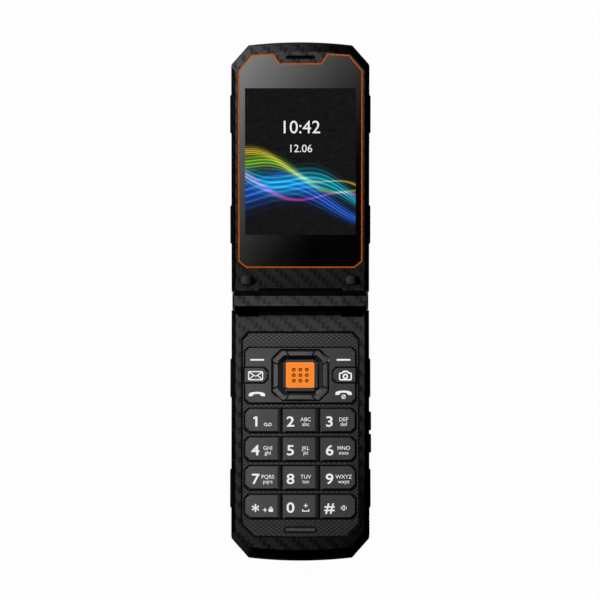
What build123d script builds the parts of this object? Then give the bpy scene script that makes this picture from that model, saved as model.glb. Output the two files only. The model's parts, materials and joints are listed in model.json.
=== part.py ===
from build123d import *
import math
import os

# A rugged folding mobile phone, lying open on its back.
# X runs across the phone, Y along it towards the lid's far end, and Z up from the table.
# The origin is the middle of the lower half's back face. Lengths are millimetres.
# Places along a half are measured from the hinge axis, and called "along" here.
# The lid is drawn flat, level with the lower half, and then raised about the hinge.

# Whole phone
half_length = 101.0
body_width = 53.9
base_thickness = 13.0
lid_thickness = 9.0
closed_gap = 0.6
open_angle = 164.0
corner_width = 6.7
corner_length = 7.6
end_bulge = 1.2
corner_radius = 1.2

# Shared walls and clearances
wall = 1.5
seat_clearance = 0.1
slide_clearance = 0.15
run_clearance = 0.05
cut_overrun = 1.0

# Bevels round the two faces and the two backs
face_bevel_height = 2.2
face_bevel_side = 1.8
face_bevel_end = 3.2
face_bevel_corner = 2.6
back_bevel_height = 2.0
back_bevel_side = 1.6
back_bevel_end = 2.4
back_bevel_corner = 1.8
ridge_round = 0.5

# Hinge barrel and what turns in it
barrel_radius = 4.65
half_tuck = 1.35
barrel_flat = 3.9
side_knuckle_length = 9.4
knuckle_gap = 0.2
step_margin = 0.6
step_width = 0.6
step_length = 0.45
step_depth = 0.35
barrel_side_margin = 1.15
barrel_swing_clearance = 0.15
lid_edge_gap = 0.3
base_edge_gap = 0.95
neck_pocket_gap = 1.55
neck_pocket_inset = 1.4
neck_reach = 6.4
neck_root = 1.5
neck_low = 4.1
lid_neck_high = 0.5
base_neck_high = 1.9
neck_side_gap = 0.2
end_cap_length = 0.8
end_cap_radius = 3.6
end_cap_plug_radius = 1.6
end_cap_plug_length = 0.9
chamber_radius = 2.9
cartridge_share = 0.4
cartridge_wall = 0.5
cam_length = 2.0
cam_collar = 0.6
drive_flats = 4.2
drive_end_wall = 2.0
spring_wire = 0.6
spring_turns = 6
pin_radius = 2.55
pin_bore_radius = 1.7
pin_end_wall = 1.4
pin_share = 0.25

# Flexible circuit that crosses the hinge
flex_side_gap = 0.8
flex_thickness = 0.2
flex_coil_radius = 2.3
flex_slot = 0.7
flex_tail = 10.4
flex_foot_end = 16.4
display_flex_length = 12.0
display_flex_width = 12.0

# Lower half's shells
face_lip = 1.9
end_wall_end = 7.4
screw_boss_radius = 1.75
screw_radius = 0.7
screw_head_radius = 1.2
screw_head_height = 1.0
screw_engagement = 3.0
screw_slot_width = 0.4
screw_slot_depth = 0.4
near_screw_side = 5.45
near_screw_along = 9.0
far_screw_side = 5.65
far_screw_inset = 6.7

# Rubber grips on the sides of both halves
grip_start_shares = (0.22, 0.65)
grip_length = 14.8
grip_proud = 0.48
grip_sunk = 0.7
grip_edge = 0.4
base_grip_back_gap = 3.6
base_grip_face_gap = 2.8
lid_grip_back_gap = 2.2
lid_grip_face_gap = 2.6

# Battery door and battery bay
door_thickness = 1.2
door_start = 17.0
door_rail_side = 4.35
door_rail_web = 0.8
door_rail_web_height = 0.7
door_rail_lip = 1.8
door_rail_lip_height = 0.6
door_rail_start = 26.0
door_rail_end_inset = 18.0
thumb_length = 5.0
thumb_width = 15.0
thumb_depth = 0.4
thumb_inset = 11.0
thumb_ribs = 3
thumb_rib_width = 0.6
bay_side = 6.45
bay_start = 19.0
bay_end_inset = 16.5
bay_roof = 0.8
battery_clearance = 0.25
sim_length = 13.5
sim_side_gap = 2.5
sim_thickness = 1.4
sim_gap = 0.8
contact_half_width = 4.5
contact_length = 1.2
contact_floor_gap = 1.4
contact_pin_width = 1.2
contact_pin_pitch = 3.0
far_chamber_gap = 2.0

# Circuit board, domes and membrane under the keys
board_side_margin = 0.5
board_start = 14.0
board_end_inset = 10.0
board_thickness = 1.0
board_tongue_half_width = 6.0
board_tongue_end_inset = 4.0
dome_sheet_thickness = 0.15
dome_radius = 2.0
dome_rise = 0.35
membrane_thickness = 0.45
nub_radius = 1.0
nub_height = 0.95
nub_gap = 0.1

# Keypad panel
panel_recess = 0.6
panel_thickness = 1.4
panel_rim = 0.9
panel_rim_height = 1.0
panel_side_margin = 3.85
panel_start = 12.0
panel_end_inset = 7.9
panel_end_bulge = 0.4
panel_near_cut_width = 2.6
panel_near_cut_length = 2.8
panel_far_cut_width = 4.6
panel_far_cut_length = 4.9

# Number keys
key_field_margin = 1.6
key_columns = 3
key_rows = 4
key_column_gap = 1.0
key_row_gap = 2.2
key_corner = 1.8
key_field_start_gap = 2.4
key_field_end_gap = 7.8
key_hole_gap = 0.2
key_flange = 0.35
key_flange_thickness = 0.45
key_flange_play = 0.15
key_rise = 0.1
key_chamfer = 0.35
key_flank_width = 1.1
key_flank_drop = 0.8

# Function keys round the navigation ring
cluster_gap = 6.5
cluster_length = 21.6
cluster_corner = 1.6
cluster_seam = 0.36
side_key_half_length = 2.95
side_key_inner = 12.75
side_key_outer_reach = 0.3
side_key_corner = 1.6
rocker_flange_drop = 0.25
rocker_chamfer = 0.2

# Navigation ring and centre key
ring_half_width = 10.9
ring_end_gap = 0.95
ring_corner = 3.6
ring_bowl_half_width = 8.75
ring_rim_length = 1.9
ring_bowl_corner = 2.3
ring_opening_half_width = 6.9
ring_slope_length = 1.6
ring_opening_corner = 1.2
ring_bowl_depth = 1.4
ring_low_gap = 0.9
ring_tab_inset = 0.35
ring_tab_depth = 1.85
ring_tab_long = 11.0
ring_tab_short = 8.6
ring_side_tab_long = 10.0
ring_side_tab_short = 8.3
ring_tab_rise = 0.08
ring_tab_seam = 0.3
ring_seam_depth = 0.9
pad_gap = 0.32
pad_thickness = 0.28
pad_inset = 0.8
collar_gap = 0.3
collar_depth = 0.75
centre_key_half_width = 5.65
collar_length = 1.2
centre_key_corner = 0.8
centre_key_rise = 0.25
centre_key_round = 0.35
centre_key_gap = 0.35
dimple_pitch_x = 2.53
dimple_pitch_y = 2.18
dimple_radius = 0.72
dimple_depth = 0.28

# Microphone, socket, speaker and motor in the lower half
mic_width = 12.4
mic_height = 1.95
mic_inset = 11.2
mic_rise = 0.15
mic_flange = 0.4
socket_width = 7.6
socket_height = 2.7
socket_depth = 5.6
socket_wall = 0.35
socket_recess = 0.6
socket_tongue_height = 0.6
socket_tongue_width = 4.6
speaker_motor_gap = 4.5
speaker_start = 8.2
speaker_end = 16.2
speaker_headroom = 1.9
speaker_slot_count = 5
speaker_slot_width = 1.0
speaker_slot_length = 6.0
speaker_slot_margin = 2.8
motor_radius = 4.0
motor_headroom = 2.7
motor_side = 10.45
motor_along = 12.6

# Volume keys on the right-hand side
volume_start_share = 0.428
volume_length = 7.2
volume_gap = 1.6
volume_board_gap = 0.5
volume_height = 2.0
volume_proud = 0.72
volume_flange = 0.5
volume_flange_thickness = 0.55
volume_edge = 0.3
volume_travel = 0.3
switch_depth = 1.0
switch_length = 3.6
switch_height = 1.3

# Display window and its coloured trim
window_side_margin = 2.95
window_start = 13.3
window_end_inset = 4.6
window_near_cut_width = 2.9
window_near_cut_length = 2.4
window_far_cut_width = 5.0
window_far_cut_length = 6.0
window_brow = 0.5
notch_half_width = 10.6
notch_floor_half_width = 8.2
notch_depth = 3.7
trim_width = 0.42
trim_rise = 0.06
trim_depth = 1.0
window_recess = 0.2
window_thickness = 1.1
window_ledge = 0.8
screen_side_margin = 2.4
screen_start = 26.05
screen_end_margin = 12.75
module_margin_side = 1.5
module_margin_near = 5.0
module_margin_far = 2.2
module_thickness = 2.5

# Lid's other pieces
lid_parting_depth = 4.6
ear_slot_width = 11.5
ear_slot_height = 1.55
ear_slot_inset = 5.3
ear_capsule_width = 13.0
ear_capsule_length = 4.2
ear_capsule_height = 1.7
ear_mesh_thickness = 0.3
ear_roof = 0.7
bumper_width = 5.4
bumper_height = 3.1
bumper_side = 6.4
bumper_along = 8.3
bumper_sunk = 1.0
bumper_proud = 0.45
lid_boss_radius = 1.4
camera_inset = 10.6
camera_half_width = 3.4
camera_barrel_radius = 2.6
camera_window_gap = 0.05
camera_hole_radius = 3.3
camera_bezel_radius = 5.2
camera_bezel_proud = 0.5
camera_bezel_sunk = 0.5
camera_bezel_edge = 0.3
camera_window_thickness = 0.7
flash_x = 9.0
flash_radius = 1.6
flash_flange = 0.6
flash_flange_thickness = 0.4
camera_board_half_width = 13.0
camera_board_near = 4.0
camera_board_far = 3.6
camera_board_thickness = 0.6

# Places worked out from the sizes above
hinge_y = half_length / 2
face_z = base_thickness
panel_top = face_z - panel_recess
panel_low = panel_top - panel_thickness
rim_low = panel_low - panel_rim_height
membrane_top = rim_low
membrane_low = membrane_top - membrane_thickness
dome_top = membrane_low - nub_height - nub_gap
board_top = dome_top - dome_rise - dome_sheet_thickness
base_parting = board_top - board_thickness
hinge_z = base_thickness + closed_gap / 2
lid_rise = 180 - open_angle
facet_turn = lid_rise / 2
half_width = body_width / 2
lid_back_z = face_z - lid_thickness
lid_parting = face_z - lid_parting_depth
knuckle_end = half_width - barrel_side_margin
side_start = knuckle_end - side_knuckle_length
centre_end = side_start - knuckle_gap
half_start = barrel_radius - half_tuck
step_radius = barrel_radius - step_margin
lid_edge_radius = barrel_radius + lid_edge_gap
base_edge_radius = barrel_radius + base_edge_gap
neck_pocket_radius = barrel_radius + neck_pocket_gap
neck_pocket_outer = knuckle_end - neck_pocket_inset
cartridge_length = 2 * centre_end * cartridge_share
pin_length_in_base = 2 * centre_end * pin_share
drive_length = side_knuckle_length - drive_end_wall
pin_seat = side_knuckle_length - pin_end_wall
flex_low_x = -centre_end + cartridge_length + flex_side_gap
flex_high_x = centre_end - pin_length_in_base - flex_side_gap
near_screw_x = half_width - near_screw_side
far_screw_x = half_width - far_screw_side
bay_half_width = half_width - bay_side
sim_half_width = bay_half_width - sim_side_gap
contact_height = base_parting - bay_roof - door_thickness - contact_floor_gap
door_rail_x = half_width - door_rail_side
motor_x = half_width - motor_side
motor_height = base_parting - wall - motor_headroom
speaker_half_width = motor_x - motor_radius - speaker_motor_gap
speaker_height = base_parting - wall - speaker_headroom
speaker_slot_pitch = 2 * (speaker_half_width - speaker_slot_margin) / (speaker_slot_count - 1)
base_grip_low = base_grip_back_gap
base_grip_high = face_z - base_grip_face_gap
lid_grip_low = lid_back_z + lid_grip_back_gap
lid_grip_high = face_z - lid_grip_face_gap
bumper_x = half_width - bumper_side
panel_half_width = half_width - panel_side_margin
key_field_half_width = panel_half_width - key_field_margin
board_half_width = panel_half_width - board_side_margin
window_half_width = half_width - window_side_margin
screen_half_width = window_half_width - screen_side_margin
lip_low = face_z - face_lip
volume_low = board_top + volume_board_gap
volume_high = volume_low + volume_height
volume_start = half_length * volume_start_share
flange_high = panel_low - key_flange_play
flange_low = flange_high - key_flange_thickness
key_top = face_z + key_rise
cluster_start = panel_start + cluster_gap
cluster_end = cluster_start + cluster_length
cluster_middle = (cluster_start + cluster_end) / 2
ring_half_length = cluster_length / 2 - ring_end_gap
ring_bowl_half_length = ring_half_length - ring_rim_length
ring_opening_half_length = ring_bowl_half_length - ring_slope_length
centre_key_half_length = ring_opening_half_length - collar_length
panel_end = half_length - panel_end_inset
row_start = cluster_end + key_field_start_gap
row_end = panel_end - key_field_end_gap
row_pitch = (row_end - row_start + key_row_gap) / key_rows
column_pitch = (2 * key_field_half_width + key_column_gap) / key_columns
window_end = half_length - window_end_inset
screen_length = window_end - screen_end_margin - screen_start
bay_end = half_length - bay_end_inset
camera_along = half_length - camera_inset
lid_floor = lid_back_z + wall
window_top = face_z - window_recess
ledge_top = window_top - window_thickness
ledge_low = ledge_top - window_ledge


# Small tools

def on_base(x, along):
    """Point of the lower half, at a distance from the hinge axis."""
    return (x, hinge_y - along)


def on_lid(x, along):
    """Point of the lid drawn flat, at a distance from the hinge axis."""
    return (x, hinge_y + along)


def polygon(points):
    """Face over a closed run of straight sides, facing up."""
    pairs = zip(points, points[1:] + points[:1])
    turning = sum(a[0] * b[1] - b[0] * a[1] for a, b in pairs)
    ordered = points if turning > 0 else points[::-1]
    return make_face(Polyline(*ordered, close=True))


def grown(points, amount):
    """Outline points moved out evenly, so that each side keeps its direction."""
    count = len(points)
    normals = []
    for index, start in enumerate(points):
        end = points[(index + 1) % count]
        length = math.dist(start, end)
        normals.append(((end[1] - start[1]) / length, (start[0] - end[0]) / length))
    moved = []
    for index, point in enumerate(points):
        before = normals[index - 1]
        after = normals[index]
        share = amount / (1 + before[0] * after[0] + before[1] * after[1])
        moved.append((point[0] + share * (before[0] + after[0]), point[1] + share * (before[1] + after[1])))
    return moved


def mirrored(right_half):
    """Outline points of both sides, from the points of the right-hand side."""
    return right_half + [(-x, along) for x, along in reversed(right_half)]


def slab(face, low, high):
    """Straight solid over a face between two heights."""
    return Pos(0, 0, low) * extrude(face, amount=high - low)


def tapered(low_face, high_face, low, high):
    """Solid with straight slopes from one face up to another."""
    return loft([Pos(0, 0, low) * low_face, Pos(0, 0, high) * high_face], ruled=True)


def block(x_low, x_high, y_low, y_high, z_low, z_high):
    """Box between pairs of limits."""
    corner = (Align.MIN, Align.MIN, Align.MIN)
    return Pos(x_low, y_low, z_low) * Box(x_high - x_low, y_high - y_low, z_high - z_low, align=corner)


def base_block(x_low, x_high, near, far, z_low, z_high):
    """Box on the lower half, from near to far along it."""
    return block(x_low, x_high, hinge_y - far, hinge_y - near, z_low, z_high)


def lid_block(x_low, x_high, near, far, z_low, z_high):
    """Box on the flat lid, from near to far along it."""
    return block(x_low, x_high, hinge_y + near, hinge_y + far, z_low, z_high)


def post(point, radius, low, high):
    """Upright round post or hole."""
    shape = Cylinder(radius, high - low, align=(Align.CENTER, Align.CENTER, Align.MIN))
    return Pos(point[0], point[1], low) * shape


def axle(radius, x_low, x_high):
    """Round bar or hole on the hinge axis."""
    shape = Cylinder(radius, x_high - x_low, align=(Align.CENTER, Align.CENTER, Align.MIN))
    return Pos(x_low, hinge_y, hinge_z) * Rot(Y=90) * shape


def facets(radius):
    """Corners of the barrel's eight-sided section, on a circle of that radius."""
    half_flat = barrel_flat / 2 * radius / barrel_radius
    reach = math.sqrt(radius ** 2 - half_flat ** 2)
    quarter = [(half_flat, reach), (reach, half_flat)]
    right = quarter + [(y, -z) for y, z in reversed(quarter)]
    return right + [(-y, -z) for y, z in right]


def barrel(x_low, x_high, turn, radius_low=barrel_radius, radius_high=barrel_radius):
    """Faceted bar on the hinge axis, which may taper to its ends."""
    low = Pos(x_low, 0, 0) * (Plane.YZ * polygon(facets(radius_low)))
    high = Pos(x_high, 0, 0) * (Plane.YZ * polygon(facets(radius_high)))
    return Pos(0, hinge_y, hinge_z) * Rot(X=turn) * loft([low, high], ruled=True)


def both_sides(solid):
    """A solid and its mirror image on the other side of the phone."""
    return [solid, mirror(solid, about=Plane.YZ)]


def top_edges(solid):
    """Edges round a solid's highest face."""
    return solid.faces().sort_by(Axis.Z)[-1].edges()


def half_face(place, side=0.0, end=0.0, corner=0.0):
    """Outline of one half, drawn in from its side, end and corner edges."""
    span = math.hypot(corner_width, corner_length)
    lean_x = corner_length / span
    lean_along = corner_width / span
    corner_along = half_length - end_bulge - corner_length
    side_x = half_width - side
    end_along = half_length - end_bulge - end
    turn_along = corner_along + (side * lean_x - corner) / lean_along
    turn_x = half_width - (corner + (end_along - corner_along) * lean_along) / lean_x
    sides = Polyline(
        place(turn_x, end_along),
        place(side_x, turn_along),
        place(side_x, half_start),
        place(-side_x, half_start),
        place(-side_x, turn_along),
        place(-turn_x, end_along),
    )
    end_arc = ThreePointArc(
        place(-turn_x, end_along), place(0, end_along + end_bulge), place(turn_x, end_along)
    )
    face = make_face([*sides.edges(), end_arc])
    far = face.vertices().sort_by_distance((*place(0, half_start), 0))[-4:]
    face = fillet(far, corner_radius)
    return face if face.faces()[0].normal_at().Z > 0 else -face


def ridge_edges(body, place, levels):
    """Level edges of a shell at given heights, apart from those at its hinge end."""
    hinge_end = place(0, half_start)[1]
    edges = []
    for level in levels:
        for edge in body.edges().filter_by_position(Axis.Z, level, level):
            if any(abs(corner.Y - hinge_end) > seat_clearance for corner in edge.vertices()):
                edges.append(edge)
    return edges


def face_shell(place, low):
    """Outer form of a front shell, with a bevel round its face and softened ridges."""
    full = half_face(place)
    drawn_in = half_face(place, face_bevel_side, face_bevel_end, face_bevel_corner)
    shoulder = face_z - face_bevel_height
    body = slab(full, low, shoulder) + tapered(full, drawn_in, shoulder, face_z)
    return fillet(ridge_edges(body, place, (shoulder, face_z)), ridge_round)


def back_shell(place, low, high):
    """Outer form of a back shell, with a bevel round its back and softened ridges."""
    full = half_face(place)
    drawn_in = half_face(place, back_bevel_side, back_bevel_end, back_bevel_corner)
    shoulder = low + back_bevel_height
    body = slab(full, shoulder, high) + tapered(drawn_in, full, low, shoulder)
    return fillet(ridge_edges(body, place, (low, shoulder)), ridge_round)


def grips(place, low, high, grow=0.0):
    """The four rubber pads of one half, or the pockets that they sit in."""
    pads = []
    for start_share in grip_start_shares:
        start = half_length * start_share
        points = [
            place(half_width - grip_sunk, start - grow),
            place(half_width + grip_proud, start - grow),
            place(half_width + grip_proud, start + grip_length + grow),
            place(half_width - grip_sunk, start + grip_length + grow),
        ]
        pad = slab(polygon(points), low - grow, high + grow)
        if grow == 0:
            pad = chamfer(pad.faces().sort_by(Axis.X)[-1].edges(), grip_edge)
        pads += both_sides(pad)
    return pads


def screw(point, head_low, tip):
    """Slotted screw that stands upright with its head below."""
    shank = post(point, screw_radius, head_low, tip)
    head = post(point, screw_head_radius, head_low, head_low + screw_head_height)
    slot = block(
        point[0] - screw_head_radius, point[0] + screw_head_radius,
        point[1] - screw_slot_width / 2, point[1] + screw_slot_width / 2,
        head_low - cut_overrun, head_low + screw_slot_depth,
    )
    return head + shank - slot


# Outlines of the keys and of the panel they stand in

def panel_face(grow=0.0):
    """Keypad panel's outline, which may be grown all round."""
    far = panel_end + grow
    half = panel_half_width + grow
    near = panel_start - grow
    right = [
        on_base(half - panel_near_cut_width, near),
        on_base(half, near + panel_near_cut_length),
        on_base(half, far - panel_end_bulge - panel_far_cut_length),
        on_base(half - panel_far_cut_width, far - panel_end_bulge),
    ]
    left = [(-x, y) for x, y in reversed(right)]
    sides = Polyline(*left, *right)
    end_arc = ThreePointArc(right[-1], on_base(0, far), left[0])
    face = make_face([*sides.edges(), end_arc])
    return face if face.faces()[0].normal_at().Z > 0 else -face


def number_key_face(column, row, grow=0.0):
    """Outline of a number key; the outer columns have their outer corners cut off."""
    middle = column * column_pitch
    half_key = (column_pitch - key_column_gap) / 2 + grow
    near = row_start + row * row_pitch - grow
    far = near + row_pitch - key_row_gap + 2 * grow
    if column == 0:
        points = [(-half_key, near), (half_key, near), (half_key, far), (-half_key, far)]
    else:
        inner = (abs(middle) - half_key) * column
        outer = (abs(middle) + half_key) * column
        shoulder = outer - key_corner * column
        points = [
            (inner, near), (shoulder, near), (outer, near + key_corner),
            (outer, far - key_corner), (shoulder, far), (inner, far),
        ]
    return polygon([on_base(x, along) for x, along in points])


def cut_rectangle(half_x, half_y, cut, along):
    """Rectangle with its four corners cut off, centred on the lower half."""
    right = [
        (half_x - cut, along - half_y), (half_x, along - half_y + cut),
        (half_x, along + half_y - cut), (half_x - cut, along + half_y),
    ]
    return polygon([on_base(x, y) for x, y in mirrored(right)])


def cluster_face(grow=0.0):
    """Outline round all the function keys."""
    return cut_rectangle(
        key_field_half_width + grow, cluster_length / 2 + grow, cluster_corner, cluster_middle
    )


def ring_face(grow=0.0):
    """Outer outline of the navigation ring."""
    return cut_rectangle(
        ring_half_width + grow, ring_half_length + grow, ring_corner, cluster_middle
    )


def ring_opening_face(grow=0.0):
    """Outline of the opening in the navigation ring."""
    return cut_rectangle(
        ring_opening_half_width + grow, ring_opening_half_length + grow, ring_opening_corner, cluster_middle
    )


def side_key_face(side, grow=0.0, reach=side_key_outer_reach):
    """Outline of the message key or the camera key, cut off at its inner corners."""
    outer = key_field_half_width + reach + grow
    inner = side_key_inner - grow
    half = side_key_half_length + grow
    points = [
        (outer, -half), (inner + side_key_corner, -half), (inner, -half + side_key_corner),
        (inner, half - side_key_corner), (inner + side_key_corner, half), (outer, half),
    ]
    return polygon([on_base(side * x, cluster_middle + y) for x, y in points])


def centre_key_face(grow=0.0):
    """Outline of the centre key, with round corners."""
    shape = RectangleRounded(
        2 * (centre_key_half_width + grow), 2 * (centre_key_half_length + grow), centre_key_corner
    )
    return Pos(*on_base(0, cluster_middle)) * shape


def rocker_face(side, grow=0.0):
    """One C-shaped rocker: half of the cluster, less the ring and the side key."""
    reach = key_field_half_width + key_flange + cut_overrun
    depth = cluster_length / 2 + key_flange + cut_overrun
    points = [
        (side * cluster_seam / 2, -depth), (side * reach, -depth),
        (side * reach, depth), (side * cluster_seam / 2, depth),
    ]
    half = polygon([on_base(x, cluster_middle + y) for x, y in points])
    face = cluster_face(grow) & half
    face -= ring_face(cluster_seam)
    return face - side_key_face(side, cluster_seam, key_flange + cut_overrun)


def slot_face(point, width, height):
    """Slot with round ends, across the phone."""
    return Pos(*point) * SlotOverall(width, height)


def press_points():
    """Where a dome lies under each key, under the rockers' ends and round the ring."""
    points = []
    for row in range(key_rows):
        middle = row_start + row * row_pitch + (row_pitch - key_row_gap) / 2
        points += [on_base(column * column_pitch, middle) for column in (-1, 0, 1)]
    rocker_x = (key_field_half_width + ring_half_width) / 2
    rocker_arm = (cluster_length / 2 + side_key_half_length) / 2
    for side in (-1, 1):
        points += [on_base(side * rocker_x, cluster_middle + arm) for arm in (-rocker_arm, 0, rocker_arm)]
    arm_x = (ring_half_width + ring_opening_half_width) / 2
    arm_y = (ring_half_length + ring_opening_half_length) / 2
    points += [on_base(x, cluster_middle) for x in (-arm_x, 0, arm_x)]
    points += [on_base(0, cluster_middle + y) for y in (-arm_y, arm_y)]
    return points


# Lower half: shells and door

def end_cap_room(start):
    """Space round the barrel's two end caps, from a distance out from the middle."""
    near_radius = barrel_radius + barrel_swing_clearance
    far_radius = end_cap_radius + barrel_swing_clearance
    upright = (Align.CENTER, Align.CENTER, Align.MIN)
    cap = Cone(near_radius, far_radius, end_cap_length, align=upright)
    return both_sides(Pos(start, hinge_y, hinge_z) * Rot(Y=90) * cap)


def step_ring(grow, x_low, x_high):
    """Ring about the hinge axis, which closes the line of sight between two knuckles."""
    ring = axle(step_radius + grow, x_low, x_high)
    return ring - axle(step_radius - step_width - grow, x_low - cut_overrun, x_high + cut_overrun)


def barrel_room():
    """Space that the turning barrel needs at the lower half's end."""
    end = knuckle_end + barrel_swing_clearance
    room = axle(barrel_radius + barrel_swing_clearance, -end, end)
    for shape in end_cap_room(end):
        room += shape
    for shape in both_sides(axle(neck_pocket_radius, centre_end, neck_pocket_outer)):
        room += shape
    return room + axle(base_edge_radius, -centre_end, centre_end)


def screw_points():
    """Where the four screws of the lower half stand."""
    near = [on_base(side * near_screw_x, near_screw_along) for side in (-1, 1)]
    far = [on_base(side * far_screw_x, half_length - far_screw_inset) for side in (-1, 1)]
    return near, far


def volume_span(index):
    """Near and far ends of a volume key along the lower half."""
    near = volume_start + index * (volume_length + volume_gap)
    return near, near + volume_length


def base_front_frame():
    """Carbon-look front shell, with the panel's opening and the fixed middle of the hinge."""
    frame = face_shell(on_base, base_parting)
    inside = half_face(on_base, wall, wall, wall)
    room = slab(inside, base_parting - cut_overrun, lip_low)
    room -= base_block(-body_width, body_width, 0, end_wall_end, base_parting - cut_overrun, lip_low)
    near, far = screw_points()
    for point in near + far:
        room -= post(point, screw_boss_radius, base_parting, lip_low)
    frame -= room
    frame -= slab(panel_face(seat_clearance), lip_low - cut_overrun, face_z + cut_overrun)
    frame -= barrel_room()
    knuckle = barrel(-centre_end, centre_end, facet_turn)
    neck = base_block(
        -centre_end, centre_end, neck_root, neck_reach, hinge_z - neck_low, hinge_z - base_neck_high
    )
    frame += knuckle + neck
    for shape in both_sides(step_ring(seat_clearance, centre_end - step_depth, centre_end + cut_overrun)):
        frame -= shape
    frame -= axle(chamber_radius, -centre_end - cut_overrun, centre_end - pin_length_in_base)
    frame -= axle(pin_radius + run_clearance, 0, centre_end + cut_overrun)
    tail_z = hinge_z - flex_coil_radius
    frame -= base_block(
        flex_low_x - seat_clearance, flex_high_x + seat_clearance, 0, end_wall_end + cut_overrun,
        tail_z - flex_slot / 2, tail_z + flex_slot / 2,
    )
    for point in near + far:
        frame -= post(point, screw_radius, base_parting - cut_overrun, base_parting + screw_engagement)
    for pocket in grips(on_base, base_grip_low, base_grip_high, run_clearance):
        frame -= pocket
    for index in range(2):
        start, end = volume_span(index)
        frame -= base_block(
            half_width - wall - cut_overrun, half_width + cut_overrun,
            start - slide_clearance, end + slide_clearance,
            volume_low - slide_clearance, volume_high + slide_clearance,
        )
    return frame


def back_body():
    """Outer form of the lower half's back, door included."""
    return back_shell(on_base, 0, base_parting)


def rail_shape(web, lip, web_height, lip_height, near, far, low):
    """T-shaped rail on the door, or the groove that it runs in."""
    web_top = low + web_height
    rails = []
    for side in (-1, 1):
        middle = side * door_rail_x
        rail = base_block(middle - web / 2, middle + web / 2, near, far, low, web_top)
        rail += base_block(middle - lip / 2, middle + lip / 2, near, far, web_top, web_top + lip_height)
        rails.append(rail)
    return rails


def base_rear_shell():
    """Back shell with the battery bay, the speaker's chamber and the rails' grooves."""
    shell = back_body()
    shell -= base_block(
        -body_width, body_width, door_start, half_length + cut_overrun,
        -cut_overrun, door_thickness + seat_clearance,
    )
    roof_low = base_parting - bay_roof
    shell -= base_block(-bay_half_width, bay_half_width, bay_start, bay_end, 0, roof_low)
    inside = half_face(on_base, wall, wall, wall)
    near_room = slab(inside, wall, base_parting + cut_overrun)
    near_room &= base_block(
        -body_width, body_width, half_start + wall, door_start, 0, base_parting + cut_overrun
    )
    far_room = slab(inside, door_thickness + wall, base_parting + cut_overrun)
    far_room &= base_block(
        -body_width, body_width, bay_end + far_chamber_gap, half_length, 0, base_parting + cut_overrun
    )
    near, far = screw_points()
    for point in near:
        near_room -= post(point, screw_boss_radius, 0, base_parting)
    for point in far:
        far_room -= post(point, screw_boss_radius, 0, base_parting)
    shell -= near_room
    shell -= far_room
    for groove in rail_shape(
        door_rail_web + 2 * slide_clearance, door_rail_lip + 2 * slide_clearance,
        door_rail_web_height - slide_clearance + seat_clearance,
        door_rail_lip_height + 2 * slide_clearance,
        door_rail_start - slide_clearance, half_length + cut_overrun, door_thickness,
    ):
        shell -= groove
    for point in near:
        shell -= post(point, screw_radius + run_clearance, -cut_overrun, base_parting + cut_overrun)
        shell -= post(point, screw_head_radius + run_clearance, -cut_overrun, wall + screw_head_height)
    for point in far:
        head = door_thickness + wall + screw_head_height
        shell -= post(point, screw_radius + run_clearance, 0, base_parting + cut_overrun)
        shell -= post(point, screw_head_radius + run_clearance, 0, head)
    first = -(speaker_slot_count - 1) / 2 * speaker_slot_pitch
    middle = (speaker_start + speaker_end) / 2
    for index in range(speaker_slot_count):
        place = Pos(*on_base(first + index * speaker_slot_pitch, middle))
        slot = place * Rot(Z=90) * SlotOverall(speaker_slot_length, speaker_slot_width)
        shell -= slab(slot, -cut_overrun, wall + cut_overrun)
    shell -= base_block(
        -socket_width / 2 - seat_clearance, socket_width / 2 + seat_clearance,
        half_length - socket_depth - socket_recess, half_length + cut_overrun,
        base_parting - socket_height - seat_clearance, base_parting + cut_overrun,
    )
    for pocket in grips(on_base, base_grip_low, base_grip_high, run_clearance):
        shell -= pocket
    return shell


def battery_door():
    """Sliding door under the battery, with its rails and a ribbed thumb rest."""
    door = back_body() & base_block(
        -body_width, body_width, door_start + slide_clearance, half_length + cut_overrun, 0, door_thickness
    )
    far = half_length - door_rail_end_inset
    for rail in rail_shape(
        door_rail_web, door_rail_lip, door_rail_web_height, door_rail_lip_height,
        door_rail_start, far, door_thickness,
    ):
        door += rail
    middle = half_length - thumb_inset
    door -= slab(slot_face(on_base(0, middle), thumb_width, thumb_length), -cut_overrun, thumb_depth)
    pitch = thumb_length / (thumb_ribs + 1)
    for index in range(thumb_ribs):
        along = middle - thumb_length / 2 + (index + 1) * pitch
        half_rib = thumb_width / 2 - thumb_length / 2
        door += base_block(
            -half_rib, half_rib, along - thumb_rib_width / 2, along + thumb_rib_width / 2, 0, thumb_depth
        )
    return door


# Lower half: what the shells hold

def battery():
    """Flat battery pack, in the bay beyond the card sockets."""
    near = bay_start + sim_length + sim_gap + contact_length + 2 * battery_clearance
    pack = base_block(
        -bay_half_width + battery_clearance, bay_half_width - battery_clearance,
        near, bay_end - battery_clearance,
        door_thickness + battery_clearance, base_parting - bay_roof,
    )
    return chamfer(pack.edges().filter_by(Axis.Z), battery_clearance)


def sim_socket():
    """Holder for two cards, on the roof of the battery bay."""
    high = base_parting - bay_roof
    near = bay_start + battery_clearance
    holder = base_block(-sim_half_width, sim_half_width, near, near + sim_length, high - sim_thickness, high)
    for side in (-1, 1):
        middle = side * sim_half_width / 2
        card = sim_half_width / 2 - sim_gap
        holder -= base_block(
            middle - card, middle + card, near + sim_gap, near + sim_length + cut_overrun,
            high - sim_thickness + sim_thickness / 3, high - sim_thickness / 3,
        )
    return holder


def battery_contacts():
    """Block with three spring contacts that touch the battery's end."""
    high = base_parting - bay_roof
    near = bay_start + sim_length + sim_gap
    body = base_block(
        -contact_half_width, contact_half_width, near, near + contact_length, high - contact_height, high
    )
    for index in (-1, 0, 1):
        middle = index * contact_pin_pitch
        body += base_block(
            middle - contact_pin_width / 2, middle + contact_pin_width / 2,
            near + contact_length, near + contact_length + 2 * battery_clearance,
            high - contact_height, high - contact_height / 3,
        )
    return body


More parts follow.
